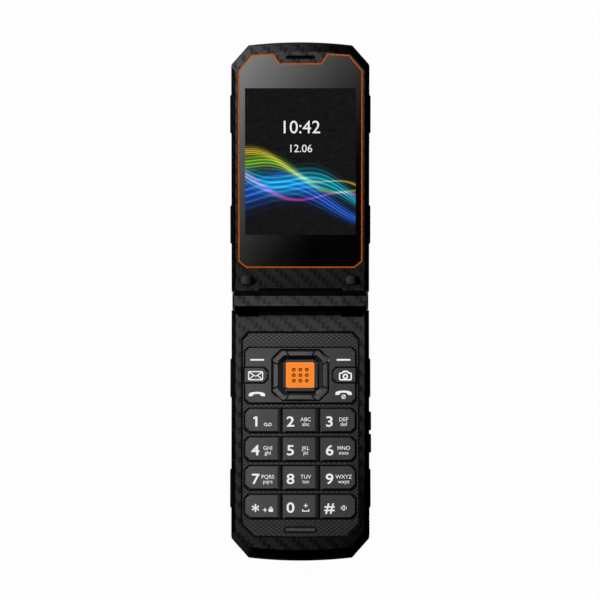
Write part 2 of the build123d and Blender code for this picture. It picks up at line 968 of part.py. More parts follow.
def main_board():
    """Circuit board on the bay's roof, with a tongue for the charging socket."""
    far = half_length - board_end_inset
    board = base_block(-board_half_width, board_half_width, board_start, far, base_parting, board_top)
    board -= base_block(
        -board_half_width - cut_overrun, -board_half_width + panel_far_cut_width,
        far - panel_far_cut_length, far + cut_overrun, 0, face_z,
    )
    board -= base_block(
        board_half_width - panel_far_cut_width, board_half_width + cut_overrun,
        far - panel_far_cut_length, far + cut_overrun, 0, face_z,
    )
    tongue_end = half_length - board_tongue_end_inset
    return board + base_block(
        -board_tongue_half_width, board_tongue_half_width, far, tongue_end, base_parting, board_top
    )


def dome_sheet():
    """Film on the board with one snap dome under each press point."""
    near = cluster_start
    far = row_end
    half = key_field_half_width
    sheet_top = board_top + dome_sheet_thickness
    sheet = base_block(-half, half, near, far, board_top, sheet_top)
    ball = (dome_radius ** 2 + dome_rise ** 2) / (2 * dome_rise)
    for point in press_points():
        cap = Pos(point[0], point[1], sheet_top + dome_rise - ball) * Sphere(ball)
        cap &= post(point, dome_radius, sheet_top, sheet_top + dome_rise)
        sheet += cap
    return sheet


def keypad_membrane():
    """Silicone mat under the keys, with a nub over each dome."""
    mat = slab(panel_face(panel_rim), membrane_low, membrane_top)
    for point in press_points():
        mat += post(point, nub_radius, membrane_low - nub_height, membrane_low)
    return mat


def keypad_panel():
    """Panel that the keys stand in, held by its rim under the front shell's lip."""
    panel = slab(panel_face(), rim_low, panel_top)
    panel += slab(panel_face(panel_rim), rim_low, lip_low)
    panel -= slab(panel_face(-panel_rim), rim_low - cut_overrun, panel_low)
    hole_low = panel_low - cut_overrun
    hole_high = panel_top + cut_overrun
    for row in range(key_rows):
        for column in (-1, 0, 1):
            panel -= slab(number_key_face(column, row, key_hole_gap), hole_low, hole_high)
    opening = cluster_face(key_hole_gap)
    for side in (-1, 1):
        opening += side_key_face(side, key_hole_gap)
    panel -= slab(opening, hole_low, hole_high)
    mic_point = on_base(0, half_length - mic_inset)
    hole = slot_face(mic_point, mic_width + 2 * seat_clearance, mic_height + 2 * seat_clearance)
    return panel - slab(hole, hole_low, hole_high)


def microphone_grille():
    """Rounded bar in the panel over the microphone, with a flange behind it."""
    point = on_base(0, half_length - mic_inset)
    bar = slab(slot_face(point, mic_width, mic_height), panel_low, panel_top + mic_rise)
    bar = fillet(top_edges(bar), mic_rise)
    flange = slot_face(point, mic_width + 2 * mic_flange, mic_height + 2 * mic_flange)
    return bar + slab(flange, rim_low, panel_low)


def charging_socket():
    """Metal charging socket under the board's tongue, open at the phone's end."""
    far = half_length - socket_recess
    near = far - socket_depth
    low = base_parting - socket_height
    half = socket_width / 2
    socket = base_block(-half, half, near, far, low, base_parting)
    socket = chamfer(socket.edges().filter_by(Axis.Y).group_by(Axis.Z)[0], 2 * socket_wall)
    opening = base_block(
        -half + socket_wall, half - socket_wall, near + socket_wall, far + cut_overrun,
        low + socket_wall, base_parting - socket_wall,
    )
    socket -= chamfer(opening.edges().filter_by(Axis.Y).group_by(Axis.Z)[0], 2 * socket_wall)
    tongue_high = base_parting - 2 * socket_wall
    return socket + base_block(
        -socket_tongue_width / 2, socket_tongue_width / 2, near, far - 2 * socket_wall,
        tongue_high - socket_tongue_height, tongue_high,
    )


def loudspeaker():
    """Speaker box over the slots in the back shell."""
    box = base_block(
        -speaker_half_width, speaker_half_width, speaker_start, speaker_end, wall, wall + speaker_height
    )
    return fillet(box.edges().filter_by(Axis.Z), speaker_slot_width)


def vibration_motor():
    """Coin motor on the back shell's floor."""
    return post(on_base(motor_x, motor_along), motor_radius, wall, wall + motor_height)


def side_switches():
    """Two switches on the board's edge, behind the volume keys."""
    switches = []
    for index in range(2):
        start, end = volume_span(index)
        middle = (start + end) / 2
        switches.append(base_block(
            board_half_width - switch_depth, board_half_width,
            middle - switch_length / 2, middle + switch_length / 2, board_top, board_top + switch_height,
        ))
        far = half_width - wall - volume_flange_thickness - seat_clearance - volume_travel
        switches[-1] += base_block(
            board_half_width, far - seat_clearance,
            middle - switch_length / 4, middle + switch_length / 4,
            board_top + switch_height / 3, board_top + switch_height,
        )
    return switches


def base_screws():
    """Four screws that hold the lower half's shells together."""
    near, far = screw_points()
    tip = base_parting + screw_engagement
    short_head = wall
    long_head = door_thickness + wall
    return [screw(p, short_head, tip) for p in near] + [screw(p, long_head, tip) for p in far]


# Keys

def key_flank(column, side):
    """Wedge cut off a key's top along its side to the next column."""
    edge = column * column_pitch + side * (column_pitch - key_column_gap) / 2
    inner = edge - side * key_flank_width
    outer = edge + side * key_column_gap / 2
    low = key_top - key_flank_drop * (1 + key_column_gap / 2 / key_flank_width)
    near_y = hinge_y - row_end
    corners = [(inner, near_y, key_top), (outer, near_y, low), (outer, near_y, key_top)]
    return extrude(make_face(Polyline(*corners, close=True)), amount=row_end - row_start, dir=(0, 1, 0))


def number_key(column, row):
    """Key cap with a flange behind the panel."""
    cap = slab(number_key_face(column, row), flange_low, key_top)
    outer_edges = []
    for edge in top_edges(cap):
        across = edge.center().X - column * column_pitch
        if abs(edge.tangent_at(0).Y) < 1 or across * column > 0:
            outer_edges.append(edge)
    flanks = [key_flank(column, side) for side in (-1, 1) if side != column]
    cap = chamfer(outer_edges, key_chamfer)
    for flank in flanks:
        cap -= flank
    return cap + slab(number_key_face(column, row, key_flange), flange_low, flange_high)


def side_key(side):
    """Message key or camera key, flanged under the panel's edge."""
    cap = slab(side_key_face(side), flange_low, key_top)
    cap = chamfer(top_edges(cap), key_chamfer)
    return cap + slab(side_key_face(side, 0.0, side_key_outer_reach + key_flange), flange_low, flange_high)


def rocker(side):
    """Soft key and call key of one side, in one rocking piece."""
    low = flange_low
    cap = slab(rocker_face(side), low, key_top)
    cap = chamfer(top_edges(cap), rocker_chamfer)
    return cap + slab(rocker_face(side, key_flange), low, flange_high - rocker_flange_drop)


def ring_tab_face(turn, spread=0.0):
    """Outline of the tab on one side of the navigation ring, by quarter turns, which may be spread at its ends."""
    reach, long, short = ring_half_length, ring_tab_long, ring_tab_short
    if turn % 2:
        reach, long, short = ring_half_width, ring_side_tab_long, ring_side_tab_short
    outer = reach - ring_tab_inset
    inner = outer - ring_tab_depth
    points = mirrored([(long / 2 + spread, outer), (short / 2 + spread, inner)])
    return Pos(*on_base(0, cluster_middle)) * Rot(Z=90 * turn) * polygon(points)


def ring_tab(turn):
    """Raised tab on one side of the navigation ring."""
    tab = slab(ring_tab_face(turn), key_top - ring_bowl_depth, key_top + ring_tab_rise)
    return chamfer(top_edges(tab), key_chamfer / 2)


def navigation_ring():
    """Eight-sided ring that slopes in to the centre key, with four raised tabs."""
    low = membrane_top + ring_low_gap
    ring = slab(ring_face(), low, key_top)
    ring = chamfer(top_edges(ring), key_chamfer / 2)
    bowl = cut_rectangle(ring_bowl_half_width, ring_bowl_half_length, ring_bowl_corner, cluster_middle)
    ring -= tapered(ring_opening_face(), bowl, key_top - ring_bowl_depth, key_top)
    ring -= slab(ring_opening_face(), low - cut_overrun, key_top + cut_overrun)
    for turn in range(4):
        ring -= slab(ring_tab_face(turn, ring_tab_seam), key_top - ring_seam_depth, key_top + cut_overrun)
        ring += ring_tab(turn)
    return ring


def navigation_pad():
    """Rocking pad under the ring, with a collar round the centre key."""
    low = membrane_top + pad_gap
    high = low + pad_thickness
    pad = slab(ring_face(-pad_inset), low, high)
    pad += slab(ring_opening_face(-collar_gap), high, key_top - collar_depth)
    return pad - slab(centre_key_face(collar_gap), low - cut_overrun, key_top)


def centre_key():
    """Centre key with nine dimples."""
    low = membrane_top + centre_key_gap
    high = face_z + centre_key_rise
    key = slab(centre_key_face(), low, high)
    key = fillet(top_edges(key), centre_key_round)
    ball = (dimple_radius ** 2 + dimple_depth ** 2) / (2 * dimple_depth)
    for column in (-1, 0, 1):
        for row in (-1, 0, 1):
            x, y = on_base(column * dimple_pitch_x, cluster_middle + row * dimple_pitch_y)
            key -= Pos(x, y, high - dimple_depth + ball) * Sphere(ball)
    return key


def volume_key(index):
    """Side key with a flange inside the wall."""
    start, end = volume_span(index)
    inner = half_width - wall - seat_clearance
    key = base_block(
        inner - volume_flange_thickness, half_width + volume_proud, start, end, volume_low, volume_high
    )
    key = chamfer(key.faces().sort_by(Axis.X)[-1].edges(), volume_edge)
    return key + base_block(
        inner - volume_flange_thickness, inner,
        start - volume_flange, end + volume_flange, volume_low - volume_flange, volume_high + volume_flange,
    )


# Hinge

def hinge_cartridge():
    """Can of the snap hinge, in the left of the fixed middle of the barrel."""
    left = -centre_end
    right = left + cartridge_length
    can = axle(chamber_radius, left, right)
    return can - axle(chamber_radius - cartridge_wall, left - cut_overrun, right - cartridge_wall)


def hinge_cam():
    """Cam that turns in the cartridge, with the six-sided drive that turns the lid."""
    left = -centre_end
    cam = axle(chamber_radius - cartridge_wall - run_clearance, left, left + cam_length)
    cam += axle(cam_collar, left + cam_length, left + 2 * cam_length)
    drive = Plane.YZ * RegularPolygon(drive_flats / 2, 6, major_radius=False)
    drive = extrude(drive, amount=drive_length)
    return cam + Pos(left - drive_length, hinge_y, hinge_z) * drive


def hinge_spring():
    """Coil spring between the cam and the closed end of the cartridge."""
    left = -centre_end + cam_length + seat_clearance
    right = -centre_end + cartridge_length - cartridge_wall
    radius = chamber_radius - cartridge_wall - spring_wire / 2 - seat_clearance
    run = right - left - spring_wire
    path = Helix(run / spring_turns, run, radius)
    section = Plane(path @ 0, z_dir=path % 0) * Circle(spring_wire / 2)
    coil = sweep(section, path=path)
    return Pos(left + spring_wire / 2, hinge_y, hinge_z) * Rot(Y=90) * coil


def hinge_pin():
    """Hollow pin of the right-hand side, which the flexible circuit runs through."""
    low = centre_end - pin_length_in_base + seat_clearance
    high = side_start + pin_seat
    return axle(pin_radius, low, high) - axle(pin_bore_radius, low - cut_overrun, high + cut_overrun)


def end_caps():
    """Caps that close the barrel's two ends."""
    cap = barrel(
        knuckle_end, knuckle_end + end_cap_length, -facet_turn, barrel_radius, end_cap_radius
    )
    cap += axle(end_cap_plug_radius, knuckle_end - end_cap_plug_length, knuckle_end)
    return both_sides(cap)


def hinge_flex():
    """Flexible circuit, coiled in the barrel, with its tail led down to the board."""
    low_x = flex_low_x
    high_x = flex_high_x
    coil = axle(flex_coil_radius + flex_thickness / 2, low_x, high_x)
    coil -= axle(flex_coil_radius - flex_thickness / 2, low_x - cut_overrun, high_x + cut_overrun)
    coil -= block(low_x, high_x, hinge_y - barrel_radius, hinge_y, hinge_z - barrel_radius, hinge_z)
    tail_low = hinge_z - flex_coil_radius - flex_thickness / 2
    tail_high = tail_low + flex_thickness
    foot_high = board_top + flex_thickness
    tail = base_block(low_x, high_x, 0, flex_tail, tail_low, tail_high)
    drop = base_block(low_x, high_x, flex_tail, flex_tail + flex_thickness, board_top, tail_high)
    foot = base_block(low_x, high_x, flex_tail, flex_foot_end, board_top, foot_high)
    return coil + tail + drop + foot


# Lid

def window_face(grow=0.0):
    """Display window's outline, with the notch under the earpiece."""
    right = [
        (window_half_width - window_near_cut_width, window_start),
        (window_half_width, window_start + window_near_cut_length),
        (window_half_width, window_end - window_far_cut_length),
        (window_half_width - window_far_cut_width, window_end),
        (notch_half_width, window_end + window_brow),
        (notch_floor_half_width, window_end + window_brow - notch_depth),
    ]
    return polygon(grown([on_lid(x, along) for x, along in mirrored(right)], grow))


def lid_front_frame():
    """Carbon-look inner shell of the lid, with the turning ends of the hinge."""
    frame = face_shell(on_lid, lid_parting)
    inside = half_face(on_lid, wall, wall, wall)
    room = slab(inside, lid_parting - cut_overrun, ledge_low)
    room -= lid_block(-body_width, body_width, 0, end_wall_end, lid_parting - cut_overrun, ledge_low)
    for side in (-1, 1):
        room -= post(on_lid(side * bumper_x, bumper_along), screw_boss_radius, lid_parting, ledge_low)
    frame -= room
    frame -= slab(window_face(trim_width / 2 + run_clearance), ledge_top, face_z + cut_overrun)
    frame -= lid_block(
        -screen_half_width, screen_half_width, screen_start, screen_start + screen_length,
        ledge_low - cut_overrun, ledge_top + cut_overrun,
    )
    frame -= axle(lid_edge_radius, -side_start, side_start)
    for shape in end_cap_room(knuckle_end):
        frame -= shape
    for shape in both_sides(step_ring(0, side_start - step_length, side_start + step_length)):
        frame += shape
    for side in (-1, 1):
        ends = sorted((side * side_start, side * knuckle_end))
        frame += barrel(*ends, -facet_turn)
        necks = sorted((side * (side_start + neck_side_gap), side * (knuckle_end - neck_side_gap)))
        frame += lid_block(*necks, neck_root, neck_reach, hinge_z - neck_low, hinge_z - lid_neck_high)
    socket = Plane.YZ * RegularPolygon(drive_flats / 2, 6, major_radius=False)
    socket = extrude(socket, amount=drive_length + cut_overrun)
    frame -= Pos(-side_start - drive_length, hinge_y, hinge_z) * socket
    frame -= axle(pin_radius, side_start - cut_overrun, side_start + pin_seat)
    plug_hole = axle(end_cap_plug_radius, knuckle_end - end_cap_plug_length, knuckle_end + cut_overrun)
    for shape in both_sides(plug_hole):
        frame -= shape
    ear_along = half_length - ear_slot_inset
    ear = on_lid(0, ear_along)
    slot = slot_face(ear, ear_slot_width, ear_slot_height)
    frame -= slab(slot, ledge_low - cut_overrun, face_z + cut_overrun)
    pocket_top = face_z - ear_roof
    frame -= lid_block(
        -ear_capsule_width / 2 - seat_clearance, ear_capsule_width / 2 + seat_clearance,
        ear_along - ear_capsule_length / 2, ear_along + ear_capsule_length / 2,
        ledge_low - cut_overrun, pocket_top - ear_mesh_thickness,
    )
    frame -= slab(
        slot_face(ear, ear_slot_width + ear_slot_height / 2, ear_slot_height + ear_slot_height / 2),
        pocket_top - ear_mesh_thickness - cut_overrun, pocket_top,
    )
    for side in (-1, 1):
        point = on_lid(side * bumper_x, bumper_along)
        pocket = slot_face(point, bumper_width + 2 * run_clearance, bumper_height + 2 * run_clearance)
        frame -= slab(pocket, face_z - bumper_sunk, face_z + cut_overrun)
        frame -= post(point, screw_head_radius, face_z - bumper_sunk - screw_head_height, face_z)
        frame -= post(point, screw_radius + run_clearance, lid_parting - cut_overrun, face_z)
    for pocket in grips(on_lid, lid_grip_low, lid_grip_high, run_clearance):
        frame -= pocket
    return frame


def lid_outer_cover():
    """Outer shell of the lid, with the camera's and the flash lamp's holes."""
    cover = back_shell(on_lid, lid_back_z, lid_parting)
    inside = half_face(on_lid, wall, wall, wall)
    room = slab(inside, lid_floor, lid_parting + cut_overrun)
    room -= lid_block(-body_width, body_width, 0, half_start + wall, lid_floor, lid_parting + cut_overrun)
    for side in (-1, 1):
        room -= post(on_lid(side * bumper_x, bumper_along), lid_boss_radius, lid_floor, lid_parting)
    cover -= room
    for side in (-1, 1):
        screw_point = on_lid(side * bumper_x, bumper_along)
        cover -= post(screw_point, screw_radius, lid_floor, lid_parting + cut_overrun)
    camera = on_lid(0, camera_along)
    cover -= post(camera, camera_hole_radius, lid_back_z - cut_overrun, lid_floor + cut_overrun)
    cover -= post(
        camera, camera_bezel_radius + run_clearance, lid_back_z - cut_overrun, lid_back_z + camera_bezel_sunk
    )
    flash = on_lid(flash_x, camera_along)
    cover -= post(flash, flash_radius + run_clearance, lid_back_z - cut_overrun, lid_floor + cut_overrun)
    for pocket in grips(on_lid, lid_grip_low, lid_grip_high, run_clearance):
        cover -= pocket
    return cover


def window_trim():
    """Thin coloured frame round the display window."""
    band = window_face(trim_width / 2) - window_face(-trim_width / 2)
    return slab(band, ledge_top, face_z + trim_rise)


def display_window():
    """Clear window over the display, seated on the frame's ledge."""
    pane = slab(window_face(-trim_width / 2 - run_clearance), ledge_top, window_top)
    return pane


def display_module():
    """Display panel in its metal frame, behind the window's ledge."""
    near = screen_start - module_margin_near
    far = screen_start + screen_length + module_margin_far
    half = screen_half_width + module_margin_side
    module = lid_block(-half, half, near, far, ledge_low - module_thickness, ledge_low)
    return module + lid_block(
        -screen_half_width + seat_clearance, screen_half_width - seat_clearance,
        screen_start + seat_clearance, screen_start + screen_length - seat_clearance,
        ledge_low, ledge_top - seat_clearance,
    )


def display_flex():
    """Flat cable from the display towards the hinge, folded under the display's end."""
    near = screen_start - module_margin_near
    low = ledge_low - module_thickness - flex_thickness
    half = display_flex_width / 2
    foot = near - display_flex_length
    strip = lid_block(-half, half, foot, near + module_margin_near, low, low + flex_thickness)
    return strip + lid_block(-half, half, foot, foot + flex_thickness, low, ledge_low)


def earpiece():
    """Receiver capsule behind the ear slot."""
    along = half_length - ear_slot_inset
    high = face_z - ear_roof - ear_mesh_thickness
    return lid_block(
        -ear_capsule_width / 2, ear_capsule_width / 2,
        along - ear_capsule_length / 2 + seat_clearance, along + ear_capsule_length / 2 - seat_clearance,
        high - ear_capsule_height, high,
    )


def earpiece_mesh():
    """Dust mesh between the ear slot and the receiver."""
    ear = on_lid(0, half_length - ear_slot_inset)
    high = face_z - ear_roof
    width = ear_slot_width + ear_slot_height / 2 - 2 * run_clearance
    height = ear_slot_height + ear_slot_height / 2 - 2 * run_clearance
    return slab(slot_face(ear, width, height), high - ear_mesh_thickness, high)


def closing_bumpers():
    """Two domed rubber buttons that hold the shut halves apart and cover the lid's screws."""
    end_radius = bumper_height / 2
    dome_radius = (end_radius ** 2 + bumper_proud ** 2) / (2 * bumper_proud)
    reach = bumper_width / 2 - end_radius
    bumpers = []
    for side in (-1, 1):
        point = on_lid(side * bumper_x, bumper_along)
        dome = Rot(Y=90) * Cylinder(dome_radius, 2 * reach)
        for end in (-reach, reach):
            dome += Pos(X=end) * Sphere(dome_radius)
        dome = Pos(*point, face_z + bumper_proud - dome_radius) * dome
        stem = slab(slot_face(point, bumper_width, bumper_height), face_z - bumper_sunk, face_z + bumper_proud)
        bumpers.append(stem & dome)
    return bumpers


def lid_screws():
    """Two screws under the bumpers, with their heads up."""
    screws = []
    high = face_z - bumper_sunk
    for side in (-1, 1):
        point = on_lid(side * bumper_x, bumper_along)
        shank = post(point, screw_radius, lid_floor, high)
        head = post(point, screw_head_radius - run_clearance, high - screw_head_height, high)
        slot = block(
            point[0] - screw_head_radius, point[0] + screw_head_radius,
            point[1] - screw_slot_width / 2, point[1] + screw_slot_width / 2,
            high - screw_slot_depth, high + cut_overrun,
        )
        screws.append(head + shank - slot)
    return screws


def camera_board():
    """Small board beyond the display that carries the camera and the lamp."""
    low = lid_floor + camera_body_height()
    return lid_block(
        -camera_board_half_width, camera_board_half_width,
        camera_along - camera_board_near, camera_along + camera_board_far, low, low + camera_board_thickness,
    )


def camera_body_height():
    """Height of the camera's square body, from the cover's floor."""
    return lid_parting - lid_floor - camera_board_thickness


def camera_module():
    """Camera body with its lens barrel, looking out of the lid's back."""
    x, y = on_lid(0, camera_along)
    half = camera_half_width
    body = block(x - half, x + half, y - half, y + half, lid_floor, lid_floor + camera_body_height())
    barrel_low = lid_back_z - camera_bezel_proud / 2 + camera_window_thickness + camera_window_gap
    return body + post((x, y), camera_barrel_radius, barrel_low, lid_floor)


def camera_bezel():
    """Ring round the camera's window."""
    camera = on_lid(0, camera_along)
    low = lid_back_z - camera_bezel_proud
    ring = post(camera, camera_bezel_radius, low, lid_back_z + camera_bezel_sunk)
    ring = chamfer(ring.faces().sort_by(Axis.Z)[0].edges(), camera_bezel_edge)
    return ring - post(camera, camera_hole_radius, low - cut_overrun, lid_back_z + cut_overrun)


def camera_window():
    """Clear disc in front of the camera's lens."""
    camera = on_lid(0, camera_along)
    low = lid_back_z - camera_bezel_proud / 2
    return post(camera, camera_hole_radius, low, low + camera_window_thickness)


def flash_lamp():
    """Lens of the flash lamp, flanged behind the cover, up to the camera's board."""
    flash = on_lid(flash_x, camera_along)
    lens = post(flash, flash_radius, lid_back_z, lid_floor)
    lens += post(flash, flash_radius + flash_flange, lid_floor, lid_floor + flash_flange_thickness)
    return lens + post(flash, flash_radius, lid_floor, lid_floor + camera_body_height())


def raised(shape):
    """A piece of the flat lid, turned up about the hinge axis to the open angle."""
    axis = Axis((0, hinge_y, hinge_z), (1, 0, 0))
    pieces = shape if isinstance(shape, list) else [shape]
    return [piece.rotate(axis, lid_rise) for piece in pieces]


def number_key_nodes():
    """The twelve number keys by name, row by row."""
    names = ("1", "2", "3", "4", "5", "6", "7", "8", "9", "star", "0", "hash")
    keys = {}
    for index, name in enumerate(names):
        row, place = divmod(index, key_columns)
        keys["key_" + name] = number_key(place - 1, row)
    return keys


def base_nodes():
    """Everything that the lower half carries."""
    return {
        "base_front_frame": base_front_frame(),
        "base_rear_shell": base_rear_shell(),
        "battery_door": battery_door(),
        "battery": battery(),
        "sim_socket": sim_socket(),
        "battery_contacts": battery_contacts(),
        "main_board": main_board(),
        "dome_sheet": dome_sheet(),
        "keypad_membrane": keypad_membrane(),
        "keypad_panel": keypad_panel(),
        "microphone_grille": microphone_grille(),
        "charging_socket": charging_socket(),
        "loudspeaker": loudspeaker(),
        "vibration_motor": vibration_motor(),
        "side_switches": side_switches(),
        "base_side_grips": grips(on_base, base_grip_low, base_grip_high),
        "base_screws": base_screws(),
        "hinge_cartridge": hinge_cartridge(),
        "hinge_spring": hinge_spring(),
        "hinge_flex": hinge_flex(),
        "message_key": side_key(-1),
        "camera_key": side_key(1),
        "left_rocker": rocker(-1),
        "right_rocker": rocker(1),
        "navigation_pad": navigation_pad(),
        "navigation_ring": navigation_ring(),
        "centre_key": centre_key(),
        "volume_up_key": volume_key(0),
        "volume_down_key": volume_key(1),
        **number_key_nodes(),
    }


def lid_nodes():
    """Everything that the lid carries, drawn flat."""
    return {
        "lid_front_frame": lid_front_frame(),
        "lid_outer_cover": lid_outer_cover(),
        "window_trim": window_trim(),
        "display_window": display_window(),
        "display_module": display_module(),
        "display_flex": display_flex(),
        "earpiece": earpiece(),
        "earpiece_mesh": earpiece_mesh(),
        "closing_bumpers": closing_bumpers(),
        "lid_screws": lid_screws(),
        "lid_side_grips": grips(on_lid, lid_grip_low, lid_grip_high),
        "camera_board": camera_board(),
        "camera_module": camera_module(),
        "camera_bezel": camera_bezel(),
        "camera_window": camera_window(),
        "flash_lamp": flash_lamp(),
        "hinge_cam": hinge_cam(),
        "hinge_pin": hinge_pin(),
        "hinge_end_caps": end_caps(),
    }


def write_node(name, shape):
    """One STEP file for a node, with all its separate solids."""
    pieces = shape if isinstance(shape, list) else [shape]
    solids = [solid for piece in pieces for solid in piece.solids()]
    export_step(Compound(children=solids), os.path.join("parts", name + ".step"))


os.makedirs("parts", exist_ok=True)
for node, shape in base_nodes().items():
    write_node(node, shape)
for node, shape in lid_nodes().items():
    write_node(node, raised(shape))
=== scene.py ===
"""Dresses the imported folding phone: finishes, knurled panel, key legends, lit display and a studio."""

from __future__ import annotations

import itertools
import json
import logging
import math
from dataclasses import dataclass
from enum import Enum
from typing import Callable, Iterable, Sequence, Union

import bpy
from mathutils import Matrix, Vector

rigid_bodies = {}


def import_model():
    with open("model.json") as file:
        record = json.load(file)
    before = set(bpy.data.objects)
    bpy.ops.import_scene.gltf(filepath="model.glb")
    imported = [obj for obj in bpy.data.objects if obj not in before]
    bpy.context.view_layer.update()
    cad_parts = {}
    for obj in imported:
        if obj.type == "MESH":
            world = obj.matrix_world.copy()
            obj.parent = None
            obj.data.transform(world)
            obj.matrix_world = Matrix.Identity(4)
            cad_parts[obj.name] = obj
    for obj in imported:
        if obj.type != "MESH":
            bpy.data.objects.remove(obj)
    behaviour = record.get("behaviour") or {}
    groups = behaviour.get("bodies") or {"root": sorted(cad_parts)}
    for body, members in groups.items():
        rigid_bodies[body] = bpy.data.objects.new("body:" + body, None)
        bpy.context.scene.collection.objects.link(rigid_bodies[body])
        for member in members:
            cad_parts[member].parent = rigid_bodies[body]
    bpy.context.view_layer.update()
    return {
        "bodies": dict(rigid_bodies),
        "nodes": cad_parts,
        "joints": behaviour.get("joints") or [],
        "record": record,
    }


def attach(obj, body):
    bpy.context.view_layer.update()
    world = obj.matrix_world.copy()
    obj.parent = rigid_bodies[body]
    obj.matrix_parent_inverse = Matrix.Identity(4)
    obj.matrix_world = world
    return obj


LOG = logging.getLogger("folding_phone")

Point = tuple[float, float]
Outline = list[Point]
Shapes = list[list[Outline]]
Colour = tuple[float, float, float, float]
Number = Union["Value", float]
Inputs = dict[Union[str, int], object]

# Places on the flat drawing of both halves, in millimetres
MM = 0.001
HINGE_Y = 50.5
HINGE_Z = 13.3
OPEN_TURN = math.radians(16.0)
FACE_Z = 13.0
WINDOW_TOP = 12.8
DISPLAY_SPAN = (26.05, 83.65)
RING_MIDDLE = (0.0, 21.2)
KEY_COLUMNS = 3
KEY_ROWS = 4
KEY_ROW_PITCH = 11.25
FIGURE_HEIGHT = 3.95

# Direction of the painted light on keys and ring: their sloped walls turned away from it get painted shade
PAINTED_LIGHT_FROM = (-0.55, 0.62, 0.56)

# Socket numbers of the Mix node's colours, which share their names with its other sockets
MIX_SHARE, MIX_FIRST, MIX_SECOND, MIX_RESULT = 0, 6, 7, 2


class Half(Enum):
    """The two halves of the phone, each drawn flat in millimetres."""

    BASE = "base"
    LID = "lid"

    def along(self, distance: float) -> float:
        """Y in the flat drawing at a distance from the hinge axis."""
        return HINGE_Y + distance if self is Half.LID else HINGE_Y - distance

    def drawn(self, points: Outline) -> Outline:
        """The same points on the flat drawing, given across and out from the hinge."""
        return [(x, self.along(distance)) for x, distance in points]

    def turn(self) -> float:
        """Angle that the half stands up from its flat drawing."""
        return OPEN_TURN if self is Half.LID else 0.0

    def to_row(self) -> Matrix:
        """Matrix from the flat drawing in millimetres to the row frame in metres."""
        hinge = Matrix.Translation((0.0, HINGE_Y, HINGE_Z))
        return Matrix.Scale(MM, 4) @ hinge @ Matrix.Rotation(self.turn(), 4, "X") @ hinge.inverted()


class Axis(Enum):
    """The three directions of the flat drawing."""

    ACROSS = 0
    ALONG = 1
    UP = 2


def linear(*levels: float) -> Colour:
    """Turns picture levels from 0 to 255 into a linear colour.

    Args:
        levels: One level for a grey, or three for red, green and blue.

    Returns:
        The colour with full alpha.
    """
    whole = levels * 3 if len(levels) == 1 else levels
    shares = [level / 255 for level in whole]
    curve = [s / 12.92 if s <= 0.04045 else ((s + 0.055) / 1.055) ** 2.4 for s in shares]
    return (*curve, 1.0)


def scaled(colour: Colour, share: float) -> Colour:
    """A colour made brighter or darker by a share."""
    return (*(share * part for part in colour[:3]), 1.0)


BLACK = linear(0)
# Near black that painted shade on walls and along axes is blended towards
PAINTED_SHADE_BLACK = linear(2)


class Value:
    """A number or vector inside a shader, which plain arithmetic turns into Math nodes."""

    def __init__(self, nodes: Tree, socket: bpy.types.NodeSocket) -> None:
        """Keeps the shader's tree and the socket that gives the value."""
        self.nodes = nodes
        self.socket = socket

    def __add__(self, other: Number) -> Value:
        """Sum of two values."""
        return self.nodes.math("ADD", self, other)

    def __sub__(self, other: Number) -> Value:
        """Difference of two values."""
        return self.nodes.math("SUBTRACT", self, other)

    def __rsub__(self, other: float) -> Value:
        """Plain number less this value."""
        return self.nodes.math("SUBTRACT", other, self)

    def __mul__(self, other: Number) -> Value:
        """Product of two values."""
        return self.nodes.math("MULTIPLY", self, other)

    def __truediv__(self, other: Number) -> Value:
        """Quotient of two values."""
        return self.nodes.math("DIVIDE", self, other)

    def __rtruediv__(self, other: float) -> Value:
        """Plain number over this value."""
        return self.nodes.math("DIVIDE", other, self)

    def __abs__(self) -> Value:
        """This value without its sign."""
        return self.nodes.math("ABSOLUTE", self)


